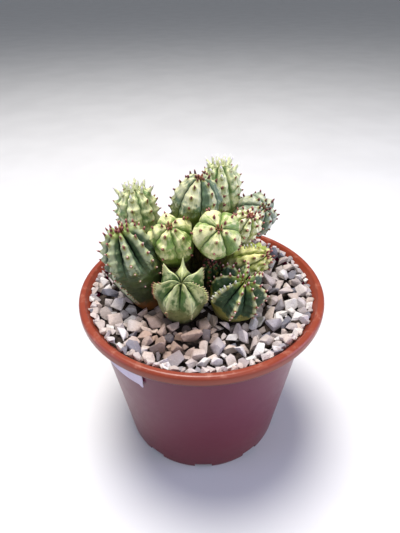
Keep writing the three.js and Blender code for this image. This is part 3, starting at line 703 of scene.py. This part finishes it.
def skinPoints(head, along, rib, across):  # across runs from -1 to 1 over a rib, furrow to furrow
    length, radius, ribs = head["length"], head["radius"], head["ribs"]
    beat = np.interp(along, *beatsOf(head))
    grown, rooted = smoothStep(along, *head["ribFrom"]), smoothStep(along, 0.15, 0.45)
    openness = 1 - (1 - head["crownOpen"]) * smoothStep(along, 0.8, 1)
    phase = beat + ribOffset(head, rib)
    sway = head["zigzag"] * grown * (1 - smoothStep(along, 0.9, 1))
    waves = [sway * zigzagOf(beat + ribOffset(head, rib + k)) for k in (-1, 0, 1)]
    shifts = [ribShift(head, rib + k) for k in (-1, 0, 1)]
    halfAfter = 0.5 + (shifts[2] - shifts[1] + waves[1] - waves[2]) / 2
    halfBefore = 0.5 + (shifts[1] - shifts[0] + waves[1] - waves[0]) / 2
    share = rib + shifts[1] + across * np.where(across > 0, halfAfter, halfBefore)
    fromCrest = np.abs(across)
    tubercle = phase - np.round(phase)  # 0 at the tip, positive below it
    pulse = bell(tubercle, np.where(tubercle < 0, skinForm["aboveTip"], skinForm["belowTip"]))
    rise, out = barrel(along, head["neck"], head["belly"])
    width = np.maximum(out * radius * math.pi / ribs, 0.2)
    toFurrow = (1 - fromCrest) * width
    depth = -head["depth"] * radius * grown * openness * fromCrest ** head["crest"]
    depth -= skinForm["furrowDepth"] * grown * openness * bell(toFurrow, skinForm["furrowWidth"])
    nipple = bell(fromCrest, skinForm["nippleWidth"]) * (pulse - skinForm["nippleRest"])
    cushion = bell(fromCrest, skinForm["cushionWidth"]) * (pulse - skinForm["cushionRest"])
    knob = skinForm["nipple"] * nipple + skinForm["cushion"] * cushion
    depth += head["bump"] * rooted * (0.35 + 0.65 * openness) * knob
    depth += ridgeOf(head, along, rib, across)
    depth -= head["dimple"] * length * smoothStep(along, 0.86, 1)
    low, high = np.clip(along - 0.01, 0, 1), np.clip(along + 0.01, 0, 1)
    lowRise, lowOut = barrel(low, head["neck"], head["belly"])
    highRise, highOut = barrel(high, head["neck"], head["belly"])
    slope = np.stack([(highRise - lowRise) * length, (lowOut - highOut) * radius], -1)
    slope /= np.linalg.norm(slope, axis=-1, keepdims=True)
    slope = np.where((along >= 1)[..., None], [0, 1], slope)
    share = share + head["twist"] * smoothStep(along, 0.55, 0.15)
    turn = math.radians(head["spin"]) + share / ribs * 2 * math.pi
    away = np.stack([np.cos(turn), np.sin(turn)], -1)
    distance = np.maximum(0, out * radius + depth * slope[..., 0])
    points = np.concatenate([away * distance[..., None],
                             (rise * length + depth * slope[..., 1])[..., None]], -1)
    normals = np.concatenate([away * slope[..., :1], slope[..., 1:]], -1)
    points, horned = pullHorns(head, points, normals, along, rib, across)
    eyeGap = np.hypot(fromCrest * width, (tubercle - 0.13) * head["spacing"] * 0.8)
    pathLeft = np.interp(along, *pathOf(head)) + 0 * turn
    traits = {
        "crest": 1 - fromCrest, "along": along + 0 * fromCrest, "beat": pulse + 0 * fromCrest,
        "eye": bell(eyeGap, skinForm["eyeWidth"]) * smoothStep(along, 0.25, 0.5), "horn": horned,
        "ring": np.stack([np.cos(turn) * radius, np.sin(turn) * radius, pathLeft], -1),
        "groove": bell(toFurrow, head["line"]) * grown * (1 - smoothStep(along, 0.96, 1)),
    }
    return points, normals, traits


def pullHorns(head, points, normals, along, rib, across):  # draws a rib's upper end out to a wedge
    horned = np.zeros(np.broadcast(along, rib, across).shape)
    for hornRib, hornAlong, size, spread in head["horns"]:
        gap = along - hornAlong
        wedge = bell(gap, np.where(gap > 0, 0.07, 0.13)) * np.maximum(0, 1 - np.abs(across)) ** 1.8
        tip = bell(gap, np.where(gap > 0, 0.035, 0.045)) * bell(across, 0.17)
        share = (0.4 * wedge + 0.6 * tip) * (rib % head["ribs"] == hornRib)
        turn = math.radians(head["spin"]) + hornRib / head["ribs"] * 2 * math.pi
        direction = np.array([spread * math.cos(turn), spread * math.sin(turn), 1])
        direction /= np.linalg.norm(direction)
        points = points + (size * share)[..., None] * direction
        horned = np.maximum(horned, share)
    return points, horned


def patchesOf(head, along, rib, across, seed):  # slow change along each flank, with steps at its edges
    beat = np.interp(along, *beatsOf(head))
    spot = np.stack([(rib % head["ribs"]) * 5.3 + np.sign(across) * 1.7, beat * 0.42,
                     0 * beat + seed * 3.1], -1)
    patch = 0.5 + 0.5 * softNoise(spot, 1.0, seed)
    ragged = along + 0.03 * np.sin(beat * 9.7) * np.cos(across * 7)
    for flankRib, side, low, high, change in head["flanks"]:
        inside = smoothStep(ragged, low, low + 0.05) * (1 - smoothStep(ragged, high, high + 0.05))
        patch += change * inside * (rib % head["ribs"] == flankRib) * smoothStep(across * side, -0.05, 0.05)
    return patch


def headMesh(name, head, seed, rows=None, perRib=None, rough=0.0):
    rows = rows or round(pathOf(head)[1][0] / skinForm["rowStep"])
    perRib = perRib or 2 * round(math.pi * head["radius"] / head["ribs"] / skinForm["columnStep"])
    columns = head["ribs"] * perRib
    along = np.linspace(0, 1, rows)[:, None] + np.zeros((1, columns))
    column = np.arange(columns)[None, :] + np.zeros((rows, 1))
    rib = np.floor((column + perRib / 2) / perRib)
    across = (column - rib * perRib) / (perRib / 2)
    across = np.sign(across) * np.abs(across) ** skinForm["crowding"]
    points, normals, traits = skinPoints(head, along, rib, across)
    traits["patch"] = patchesOf(head, along, rib, across, seed)
    world = toWorld(head, points)
    ease = smoothStep(along, 0.0, 0.1) * (1 - 0.7 * smoothStep(along, 0.9, 1))
    swell = skinForm["swell"] * softNoise(world, 6, seed)
    swell += skinForm["ripple"] * softNoise(world, 2.2, seed + 1)
    swell += rough * (0.45 * softNoise(world, 2.4, seed + 2) + 0.25 * softNoise(world, 1.0, seed + 3))
    world = world + (normals @ axesOf(head)) * (swell * ease)[..., None]
    flat = world.reshape(-1, 3)
    faces = gridFaces(rows, columns).tolist()
    crown, root = len(flat), len(flat) + 1
    top = (rows - 1) * columns
    flat = np.concatenate([flat, [flat[top:].mean(0)], [np.array(head["root"])]])
    for i in range(columns):
        after = (i + 1) % columns
        faces.append([crown, top + i, top + after])
        faces.append([root, after, i])
    closed = {}
    for label, values in traits.items():
        ends = [values[-1].mean(0), values[0].mean(0)]
        closed[label] = np.concatenate([values.reshape(len(flat) - 2, *values.shape[2:]), ends])
    return makePiece(name, flat, faces, closed)


def fleshMaterial(name, look, seed):
    material, tree, shader = newMaterial(
        name, 0.5, Subsurface_Weight=0.1, Subsurface_Radius=(0.4, 0.6, 0.15),
        Subsurface_Scale=0.0016, Specular_IOR_Level=0.42)
    tones = ("cream", "green", "deep", "olive", "foot")
    cream, green, deep, oliveTone, footTone = (paint(*look[tone]) for tone in tones)
    tints = ("scar", "fresh", "eyeRing", "eye")
    scarTone, freshTone, ringTone, eyeTone = (paint(*skinForm[tint]) for tint in tints)
    coords = objectCoords(tree, shift=(seed * 0.013, seed * 0.007, 0))
    labels = ("crest", "along", "horn", "beat", "eye", "patch", "groove")
    crest, along, horn, beat, eye, patch, groove = (attributeOf(tree, label) for label in labels)
    ring = attributeOf(tree, "ring", "Vector")
    cloud = noiseOf(tree, coords, 3.2, 4, 0.6, 0.6)
    fine = noiseOf(tree, coords, 0.7, 3, 0.6)

    def ringNoise(acrossGrain, alongGrain, detail, shift):  # grains in mm, over and along the ribs
        scale = (1 / acrossGrain, 1 / acrossGrain, 1 / alongGrain)
        spot = {"Vector": ring, "Scale": scale, "Location": (shift, seed, 0)}
        spot = addNode(tree, "ShaderNodeMapping", spot).outputs[0]
        settings = {"Vector": spot, "Scale": 1.0, "Detail": detail, "Roughness": 0.6}
        return addNode(tree, "ShaderNodeTexNoise", settings).outputs["Fac"]

    def step(*limits):
        return stepOf(tree, *limits)

    def times(first, second):
        return calc(tree, "MULTIPLY", first, second)

    def mixed(*parts):  # weighted sum of fields
        total = times(*parts[0])
        for part in parts[1:]:
            total = calc(tree, "ADD", total, times(*part))
        return total

    def ragged(field, noise, amount):
        return calc(tree, "ADD", field, times(calc(tree, "SUBTRACT", noise, 0.5), amount))

    def coat(share, tone):  # lays one more tone over the colour so far
        nonlocal colour
        colour = mixOf(tree, share, colour, tone)

    # from green to cream: flank patches broken up by clouds and streaks, paler at tubercles and crests
    clouds = step(cloud, 0.32, 0.68)
    streaks = step(ringNoise(1.3, 4.5, 4, 0), 0.32, 0.68)
    share = mixed((patch, 0.5), (clouds, 0.36), (streaks, 0.34), (beat, 0.1), (crest, 0.16))
    middle = 1.16 - 0.62 * look["pale"]
    colour = green
    coat(step(share, middle - 0.18, middle - 0.04), mixOf(tree, 0.5, green, cream))
    coat(step(share, middle, middle + 0.14), cream)
    coat(times(step(share, middle - 0.3, middle - 0.42), 0.45), deep)
    coat(step(ringNoise(0.7, 1.6, 4, 5), 0.48, 0.72, 0, 0.42), green)
    # green band beside the furrows, the plant's green deepened by painted shade in the furrows, and pale
    # crests
    coat(step(ragged(crest, fine, 0.12), 0.42, 0.1, 0, look["band"]), green)
    pallor = times(step(crest, look["crestFrom"], look["crestFrom"] + 0.22), look["edge"])
    coat(times(pallor, step(along, look["lowAt"] - 0.12, look["lowAt"] + 0.06, 0.25, 1)), cream)
    # lower part: olive under a ragged edge, darker towards the bottom as painted shade, with brown cross
    # scars and a corky foot
    low = mixed((along, 1.0), (cloud, 0.3), (ringNoise(1.0, 1.0, 2, 31), 0.14))
    border = look["lowAt"] + 0.22
    olive = times(step(low, border + 0.03, border - 0.03, 0, look["low"]), step(patch, 1.3, 1.1))
    coat(olive, oliveTone)
    # painted shade: the olive part turns deep green towards the bottom, where the other heads shade it
    coat(times(olive, step(low, border - 0.08, border - 0.3, 0, 0.5)), deep)
    coat(times(step(ringNoise(3.0, 0.6, 2, 9), 0.5, 0.72, 0, 0.5), olive), deep)
    coat(times(step(ringNoise(2.2, 0.5, 1, 17), 0.66, 0.72, 0, look["scars"]), olive), scarTone)
    coat(step(ragged(along, cloud, 0.16), 0.19, 0.07, 0, 0.85), footTone)
    # dark furrow line, partly painted shade in the crease; fresh crown; painted shade in the sunken crown;
    # and the olive ring and brown scar round each stub
    coat(step(groove, 0.2, 0.8, 0, look["line"]), deep)
    coat(times(step(along, 0.78, 0.9, 0, look["young"]), step(crest, 0.15, 0.5)), freshTone)
    # painted shade: darkens the sunken crown round its furrows and flanks, leaving the crests lighter
    coat(times(step(along, look["crownFrom"], 0.99, 0, 0.7), step(crest, 0.92, 0.6, 0.1, 1)), deep)
    if look["stub"]:
        coat(step(eye, 0.3, 0.6, 0, 0.7), ringTone)
        coat(step(eye, 0.72, 0.92, 0, 0.8), eyeTone)
    coat(step(horn, 0.1, 0.4), cream)
    tree.links.new(colour, shader.inputs["Base Color"])
    tree.links.new(step(fine, 0.3, 0.7, 0.42, 0.58), shader.inputs["Roughness"])
    normal = bumpOf(tree, ringNoise(1.2, 3.0, 3, 3), 0.16, 0.5, bumpOf(tree, fine, 0.07, 0.5))
    tree.links.new(normal, shader.inputs["Normal"])
    return material


def stubMaterial():
    material, tree, shader = newMaterial("driedStub", 0.6)
    coords = objectCoords(tree)
    colour = attributeOf(tree, "tint", "Color")
    spots = stepOf(tree, noiseOf(tree, coords, 0.5, 3), 0.5, 0.8, 0, 0.45)
    colour = mixOf(tree, spots, colour, paint(92, 44, 34))
    tree.links.new(colour, shader.inputs["Base Color"])
    tree.links.new(bumpOf(tree, noiseOf(tree, coords, 0.25, 2), 0.05, 0.6), shader.inputs["Normal"])
    return material


def peg(base, direction, style, size, thick, bend):  # one round stub; its tint runs from root to tip
    sides, rings = 8, 7
    across = np.cross(direction, [0.31, 0.2, 0.93])
    across /= np.linalg.norm(across)
    other = np.cross(direction, across)
    steps = np.linspace(0, 1, rings)
    turns = np.arange(sides) * 2 * math.pi / sides
    rounding = np.sqrt(1 - 0.75 * np.clip((steps - 0.75) / 0.25, 0, 1) ** 2)
    widths = style["radius"] * thick * (1 - style["taper"] * steps) * rounding
    length = style["length"] * size
    centre = base + np.outer(steps * (length + stubRule["rooted"]) - stubRule["rooted"], direction)
    centre = centre + np.outer(steps ** 2, bend) * length
    ring = np.cos(turns)[:, None] * across + np.sin(turns)[:, None] * other
    points = (centre[:, None, :] + widths[:, None, None] * ring[None]).reshape(-1, 3)
    points = np.concatenate([points, [centre[-1] + direction * 0.1]])
    faces, last = gridFaces(rings, sides).tolist(), (rings - 1) * sides
    faces += [[last + i, last + (i + 1) % sides, len(points) - 1] for i in range(sides)]
    shade = smoothStep(np.append(np.repeat(steps, sides), 1), 0.55, 0.85)[:, None]
    rootTone, tipTone = (np.array(paint(*style[end])[:3]) for end in ("base", "tip"))
    tint = rootTone * (1 - shade) + tipTone * shade
    return points, faces, tint


def stubPlaces(head, look):  # (rib, along, style) of every stub, tooth and tuft on a head
    table, beats = beatsOf(head)
    toothed = {rib for rib, style, low, high, step in head["teeth"] if style == "whiteTooth"}
    for rib in range(head["ribs"]):
        for k in range(1, stubRule["most"] + 1):
            beat = k - float(ribOffset(head, rib))
            if not look["stub"] or beat > beats[0] or beat < stubRule["first"] or rib in toothed:
                continue
            along = float(np.interp(-beat, -beats, table))
            if stubRule["lowest"] < along < stubRule["highest"]:
                yield rib, along, look["crownStub"] if along > stubRule["crownFrom"] else look["stub"]
    alongs, path = pathOf(head)
    for rib, style, low, high, step in head["teeth"]:
        start, end = (float(np.interp(a, alongs, path)) for a in (high, low))
        for distance in np.arange(start, end, step):
            yield rib, float(np.interp(-distance, -path, alongs)), style
    if head["tuft"]:
        for rib in range(head["ribs"]):
            yield rib, stubRule["tuftAt"] + stubRule["tuftStep"] * (rib % 2), head["tuft"]


def stubsOf(name, head, seed):
    look = looks[head["look"]]
    rng = np.random.default_rng(seed)
    others = [other for key, other in heads.items() if key != name]
    points, faces, tints, count = [], [], [], 0
    for rib, along, styleName in stubPlaces(head, look):
        style, jitter = stubStyles[styleName], rng.random(6)
        at, normal, _ = skinPoints(head, np.array([along]), np.array([float(rib)]), np.array([0.0]))
        base = toWorld(head, at)[0]
        size = (0.75 + 0.5 * jitter[0]) * float(np.interp(along, *stubRule["sizes"]))
        upward = normal[0] @ axesOf(head) + np.array([0, 0, 0.3]) + (jitter[1:4] - 0.5) * 0.4
        direction = upward / np.linalg.norm(upward)
        reach = base + np.outer([0.4, 1.0], direction) * style["length"] * size
        if base[2] < stubRule["clearOfStones"] or any(nearHead(reach, other, 0.1).any() for other in others):
            continue
        made = peg(base, direction, style, size, 0.85 + 0.3 * jitter[4], np.array([0, 0, 0.25]))
        faces += [[i + count for i in face] for face in made[1]]
        points.append(made[0])
        tints.append(made[2])
        count += len(made[0])
    return makePiece(name + "_stubs", np.concatenate(points), faces, {"tint": np.concatenate(tints)})


driedStub = stubMaterial()
for order, (name, head) in enumerate(heads.items()):
    look = looks[head["look"]]
    slotName = next(p["material_slot"] for p in frame["record"]["subparts"] if p["node"] == name)
    body = headMesh(name + "_flesh", head, order + 3)
    settle(body, fleshMaterial(name + "Flesh", look, order + 1), slotName, name)
    settle(stubsOf(name, head, order + 11), driedStub, slotName)
print("heads ready")


# Older stems

stems = {
    "bearers": [((9, 21, 55), 6, 110, 25, 9), ((-3.5, 12.5, 55), 3, 90, 21.5, 8),
                ((-16.5, 11.5, 55), 12, 150, 19.5, 7.6), ((7, 6, 55), 8, 160, 27, 7.6),
                ((-8.5, 7, 55), 4, 180, 20.5, 6.6)],
    "form": {"ribs": 6, "spin": 0, "neck": 0.7, "spacing": 3.2, "bump": 0.4, "crest": 1.3, "zigzag": 0.03,
             "depth": 0.18, "ribFrom": (0.02, 0.4)},
    "rootstock": (-1, 8), "rootLine": [(0, 34), (2, 35), (4.5, 41), (8, 48), (11.5, 54), (11, 58), (0, 60)],
    "bark": (104, 84, 50), "crack": (52, 38, 22), "greenBark": (92, 98, 48),
}


def barkMaterial():
    material, tree, shader = newMaterial("corkyBark", 0.85)
    coords = objectCoords(tree)
    cloud = noiseOf(tree, coords, 4, 4, 0.65)
    settings = {"Vector": objectCoords(tree, (1, 1, 0.45)), "Scale": 620}
    plates = addNode(tree, "ShaderNodeTexVoronoi", settings, feature="DISTANCE_TO_EDGE").outputs["Distance"]
    colour = mixOf(tree, stepOf(tree, cloud, 0.35, 0.65), paint(*stems["bark"]), paint(*stems["greenBark"]))
    colour = mixOf(tree, stepOf(tree, plates, 0.12, 0.0, 0, 0.85), colour, paint(*stems["crack"]))
    tree.links.new(colour, shader.inputs["Base Color"])
    normal = bumpOf(tree, plates, 0.3, 0.6)
    tree.links.new(bumpOf(tree, cloud, 0.4, 0.5, normal), shader.inputs["Normal"])
    return material


def joinPieces(name, parts):
    points = np.concatenate([np.array([v.co for v in p.data.vertices]) / mm for p in parts])
    faces, start = [], 0
    for part in parts:
        faces += [[start + i for i in face.vertices] for face in part.data.polygons]
        start += len(part.data.vertices)
        bpy.data.objects.remove(part)
    return makePiece(name, points, faces)


def buildStems():
    parts = []
    for i, (root, lean, heading, length, radius) in enumerate(stems["bearers"]):
        place = {"root": root, "lean": lean, "heading": heading, "length": length, "radius": radius}
        bearer = {**plainHead, **stems["form"], **place}
        parts.append(headMesh("bearer", bearer, 40 + i, 60, 14, 1.0))
    points, faces = turnedMesh(np.array(stems["rootLine"], float), 48)
    points[:, 0] += stems["rootstock"][0]
    points[:, 1] += stems["rootstock"][1]
    parts.append(makePiece("rootstock", points, faces))
    settle(joinPieces("older_stems_bark", parts), barkMaterial(), "corky_stem", "older_stems")


buildStems()
print("stems ready")


# Gravel and potting mix

bed = {
    "top": 59.4, "rise": 2.3, "swell": 0.4, "seed": 7, "attempts": 5200,
    "largest": 7, "smallest": 4.2, "closeness": 0.97, "reach": 38.8, "clearance": 1.5,
    "hollow": (1.2, -9.5, 4.2), "edgeRise": 1.1, "shrink": 0.94,
    "halves": (0.5, 0.37, 0.25), "spread": 0.12, "tilt": 1.5, "lift": 0.1, "liftSpread": 0.16,
    "gritAttempts": 24000, "gritLargest": 4.8, "gritSmallest": 2.2, "gritReach": 39.4,
    "gritToStone": 0.3, "gritToGrit": 0.35, "rimStones": 84, "rimSmallest": 2.6, "rimSpread": 1.5,
    "sink": 2.2, "sides": 160, "rings": 60, "forms": 28, "bedReach": 37.3, "bedFoot": 54.2, "bedMiddle": 54.0,
    # headShadow is the centre, in metres, of the painted shadow of the heads on the front stones, fading out
    # between headShadowInner and headShadowOuter
    "headShadow": (-0.009, -0.02, 0.06), "headShadowInner": 0.009, "headShadowOuter": 0.018,
}


def bedLevel(x, y):
    dish = bed["rise"] * (np.hypot(x, y) / bed["reach"]) ** 2
    return bed["top"] + dish + bed["swell"] * np.sin(x / 9 + 1) * np.cos(y / 8)


def fillRadius(height):
    rimHeight = pot["height"] - pot["rimRound"] / 2
    heights = [pot["flareStart"], pot["flareHeight"], rimHeight]
    radii = [innerRadius(pot["flareStart"]), pot["flareRadius"], pot["rimInner"]]
    return np.where(height < pot["flareStart"], innerRadius(height), np.interp(height, heights, radii))


def hitsHead(x, y, size):
    spot = np.array([[x, y, bedLevel(x, y) + bed["clearance"]]])
    return any(nearHead(spot, head, size / 4)[0] for head in heads.values())


def stonePlaces():
    draws = seededDraws(bed["seed"])
    draw = lambda: next(draws)
    places = []
    hollowX, hollowY, hollowRadius = bed["hollow"]
    for attempt in range(bed["attempts"]):
        angle = draw() * 2 * math.pi
        distance = math.sqrt(draw()) * bed["reach"]
        shrinking = math.sqrt(attempt / bed["attempts"])
        size = bed["largest"] - (bed["largest"] - bed["smallest"]) * shrinking
        form = [draw() for _ in range(32)]
        x, y = distance * math.cos(angle), distance * math.sin(angle)
        if distance + size / 2 > bed["reach"] or math.hypot(x - hollowX, y - hollowY) < hollowRadius:
            continue
        if any(math.hypot(x - p[0], y - p[1]) < bed["closeness"] * (size + p[2]) / 2 for p in places):
            continue
        if not hitsHead(x, y, size):
            places.append((x, y, size, form))
    return places


def gritPlaces(stones):  # smaller chips in the gaps, then a row along the rim
    draws = seededDraws(bed["seed"] + 50)
    draw = lambda: next(draws)
    places = []
    taken = np.array([(x, y, size * bed["shrink"]) for x, y, size, form in stones])
    grit = np.zeros((0, 3))
    for attempt in range(bed["gritAttempts"]):
        angle, distance = draw() * 2 * math.pi, math.sqrt(draw()) * bed["gritReach"]
        span = bed["gritLargest"] - bed["gritSmallest"]
        size = bed["gritLargest"] - span * attempt / bed["gritAttempts"]
        x, y = distance * math.cos(angle), distance * math.sin(angle)
        if distance + size * 0.3 > bed["gritReach"]:
            continue
        if (np.hypot(x - taken[:, 0], y - taken[:, 1]) < bed["gritToStone"] * (size + taken[:, 2])).any():
            continue
        if (np.hypot(x - grit[:, 0], y - grit[:, 1]) < bed["gritToGrit"] * (size + grit[:, 2])).any():
            continue
        if not hitsHead(x, y, size * 0.6):
            places.append((x, y, size, [draw() for _ in range(32)]))
            grit = np.concatenate([grit, [(x, y, size)]])
    for i in range(bed["rimStones"]):
        angle = (i + 0.5 * draw()) * 2 * math.pi / bed["rimStones"]
        size, form = bed["rimSmallest"] + bed["rimSpread"] * draw(), [draw() for _ in range(32)]
        distance = bed["reach"] + 0.4 - size * 0.35
        form[30] = 0.0
        places.append((distance * math.cos(angle), distance * math.sin(angle), size, form))
    return places


def brokenForm(seed, cuts):  # an angular chip about 2 across: the hull of scattered corners, edges worn
    rng = np.random.default_rng(seed)
    corners = rng.normal(size=(rng.integers(9, 14), 3))
    corners /= np.linalg.norm(corners, axis=1, keepdims=True)
    corners = np.sign(corners) * np.abs(corners) ** 0.75 * rng.uniform(0.85, 1.1, (len(corners), 1))
    chip = bmesh.new()
    for corner in corners:
        chip.verts.new(corner)
    bmesh.ops.convex_hull(chip, input=chip.verts)
    bmesh.ops.delete(chip, geom=[v for v in chip.verts if not v.link_faces], context="VERTS")
    bmesh.ops.dissolve_limit(chip, angle_limit=math.radians(16), verts=chip.verts, edges=chip.edges)
    bmesh.ops.bevel(chip, geom=chip.edges[:], offset=0.07, segments=1, profile=0.5, affect="EDGES")
    bmesh.ops.triangulate(chip, faces=chip.faces)
    if cuts:
        bmesh.ops.subdivide_edges(chip, edges=chip.edges, cuts=cuts, use_grid_fill=True)
        bmesh.ops.triangulate(chip, faces=chip.faces)
    bmesh.ops.recalc_face_normals(chip, faces=chip.faces)
    points = np.array([v.co[:] for v in chip.verts])
    faces = np.array([[v.index for v in f.verts] for f in chip.faces])
    chip.free()
    return points, faces


def turnMatrix(x, y, z):
    return np.array(Matrix.Rotation(z, 3, "Z") @ Matrix.Rotation(y, 3, "Y") @ Matrix.Rotation(x, 3, "X"))


def layChip(points, place, seed, shrink, sink):
    x, y, size, form = place
    size = size * shrink
    half = np.array([(share + bed["spread"] * form[i]) * size
                     for i, share in enumerate(bed["halves"])])
    rough = 0.03 * softNoise(points * 2.2, 1.0, seed) + 0.015 * softNoise(points * 6, 1.0, seed + 1)
    points = points * (1 + rough[:, None]) * half
    tilts = [(form[i] - 0.5) * bed["tilt"] for i in (3, 4)]
    points = points @ turnMatrix(*tilts, form[5] * 2 * math.pi).T
    edge = bed["edgeRise"] * float(smoothStep(math.hypot(x, y), 30, 38))
    lift = (bed["lift"] + bed["liftSpread"] * form[6]) * size - sink + edge
    points = points + [x, y, float(bedLevel(x, y)) + lift]
    reach = (fillRadius(points[:, 2]) - 0.2) / np.maximum(np.hypot(points[:, 0], points[:, 1]), 1e-6)
    points[:, :2] *= np.minimum(1, reach)[:, None]
    return points


def stoneMaterial():
    material, tree, shader = newMaterial("brokenStone", 0.8)
    coords = objectCoords(tree)
    tone = attributeOf(tree, "tone")
    colour = rampOf(tree, tone, [
        (0.0, paint(96, 98, 112)), (0.06, paint(128, 126, 138)), (0.14, paint(166, 160, 166)),
        (0.32, paint(192, 176, 168)), (0.5, paint(204, 196, 198)), (0.68, paint(212, 194, 184)),
        (0.82, paint(220, 214, 214)), (1.0, paint(234, 230, 228))])
    mottle = noiseOf(tree, coords, 1.6, 5, 0.65)
    colour = mixOf(tree, stepOf(tree, mottle, 0.45, 0.75, 0, 0.45), colour, paint(158, 142, 136))
    # painted shadow: the stones in front of the heads are darkened and warmed round one point, standing in
    # for the heads' shadow
    headShadow = addNode(tree, "ShaderNodeVectorMath", {0: coords, 1: bed["headShadow"]}, operation="DISTANCE")
    headShadowed = stepOf(tree, headShadow.outputs["Value"], bed["headShadowOuter"], bed["headShadowInner"], 0, 0.85)
    colour = mixOf(tree, headShadowed, colour, paint(206, 182, 164), "MULTIPLY")
    veins = noiseOf(tree, coords, 0.5, 4, 0.7)
    colour = mixOf(tree, stepOf(tree, veins, 0.55, 0.8, 0, 0.35), colour, paint(232, 226, 222))
    pits = noiseOf(tree, coords, 0.4, 3, 0.7)
    colour = mixOf(tree, stepOf(tree, pits, 0.48, 0.3, 0, 0.4), colour, paint(124, 112, 104))
    tree.links.new(colour, shader.inputs["Base Color"])
    normal = bumpOf(tree, mottle, 0.4, 0.7)
    normal = bumpOf(tree, veins, 0.2, 0.7, normal)
    tree.links.new(bumpOf(tree, pits, 0.12, 0.8, normal), shader.inputs["Normal"])
    return material


def buildStones(name, places, forms, seed, shrink, sink, material):
    points, triangles, tones, count = [], [], [], 0
    for i, place in enumerate(places):
        corners, faces = forms[int(place[3][29] * len(forms))]
        points.append(layChip(corners, place, seed + i, shrink, sink * place[3][30]))
        triangles.append(faces + count)
        tones.append(np.full(len(corners), place[3][31]))
        count += len(corners)
    piece = makePiece(name, np.concatenate(points), np.concatenate(triangles),
                      {"tone": np.concatenate(tones)}, sharpAngle=20)
    print(name, len(places), "stones,", len(piece.data.polygons), "triangles")
    return settle(piece, material, "gravel_stone", "gravel")


def mixMaterial(name, dark, light):
    material, tree, shader = newMaterial(name, 0.95)
    coords = objectCoords(tree)
    crumbs = noiseOf(tree, coords, 1.1, 5, 0.75)
    colour = mixOf(tree, stepOf(tree, crumbs, 0.35, 0.7), paint(*dark), paint(*light))
    tree.links.new(colour, shader.inputs["Base Color"])
    tree.links.new(bumpOf(tree, crumbs, 0.8, 0.8), shader.inputs["Normal"])
    return material


def buildFilling():
    material = stoneMaterial()
    stones = stonePlaces()
    chips, grits = ([brokenForm(seed + i, cuts) for i in range(bed["forms"])]
                    for seed, cuts in ((500, 1), (600, 0)))
    buildStones("gravel_chips", stones, chips, 500, bed["shrink"], 0.0, material)
    buildStones("gravel_grit", gritPlaces(stones), grits, 900, 1.0, bed["sink"], material)
    radii = np.linspace(1 / bed["rings"], 1, bed["rings"])
    turns = np.arange(bed["sides"]) * 2 * math.pi / bed["sides"]
    out = radii[:, None] * bed["bedReach"]
    x, y = out * np.cos(turns), out * np.sin(turns)
    level = bedLevel(x, y) - bed["sink"]
    top = np.stack([x, y, level], -1)
    top[..., 2] += 0.5 * softNoise(top, 1.8, 5) + 0.25 * softNoise(top, 0.8, 6)
    rows = [top.reshape(-1, 3)]
    for radius, height in ((innerRadius(bed["bedFoot"]) - 0.4, bed["bedFoot"]), (0.5, bed["bedMiddle"])):
        rows.append(np.stack([radius * np.cos(turns), radius * np.sin(turns), 0 * turns + height], -1))
    points = np.concatenate([[[0, 0, float(bedLevel(0, 0)) - bed["sink"]]], *rows])
    faces = [[0, 1 + i, 1 + (i + 1) % bed["sides"]] for i in range(bed["sides"])]
    faces += (gridFaces(bed["rings"] + 2, bed["sides"]) + 1)[:, ::-1].tolist()
    last = len(points) - bed["sides"]
    faces.append(list(range(last, len(points))))
    piece = makePiece("gravel_bed", points, faces)
    # painted shade: the bed seen in the gaps between the stones is dark brown to stand for their shade, with
    # a crumbly stone-dust texture
    settle(piece, mixMaterial("gapShadeAndDust", (36, 28, 26), (84, 70, 62)), "gravel_stone", "gravel")
    soil = frame["nodes"]["soil"]
    soil.data.materials.clear()
    soil.data.materials.append(mixMaterial("pottingMix", (22, 16, 12), (62, 46, 34)))


buildFilling()
print("filling ready")
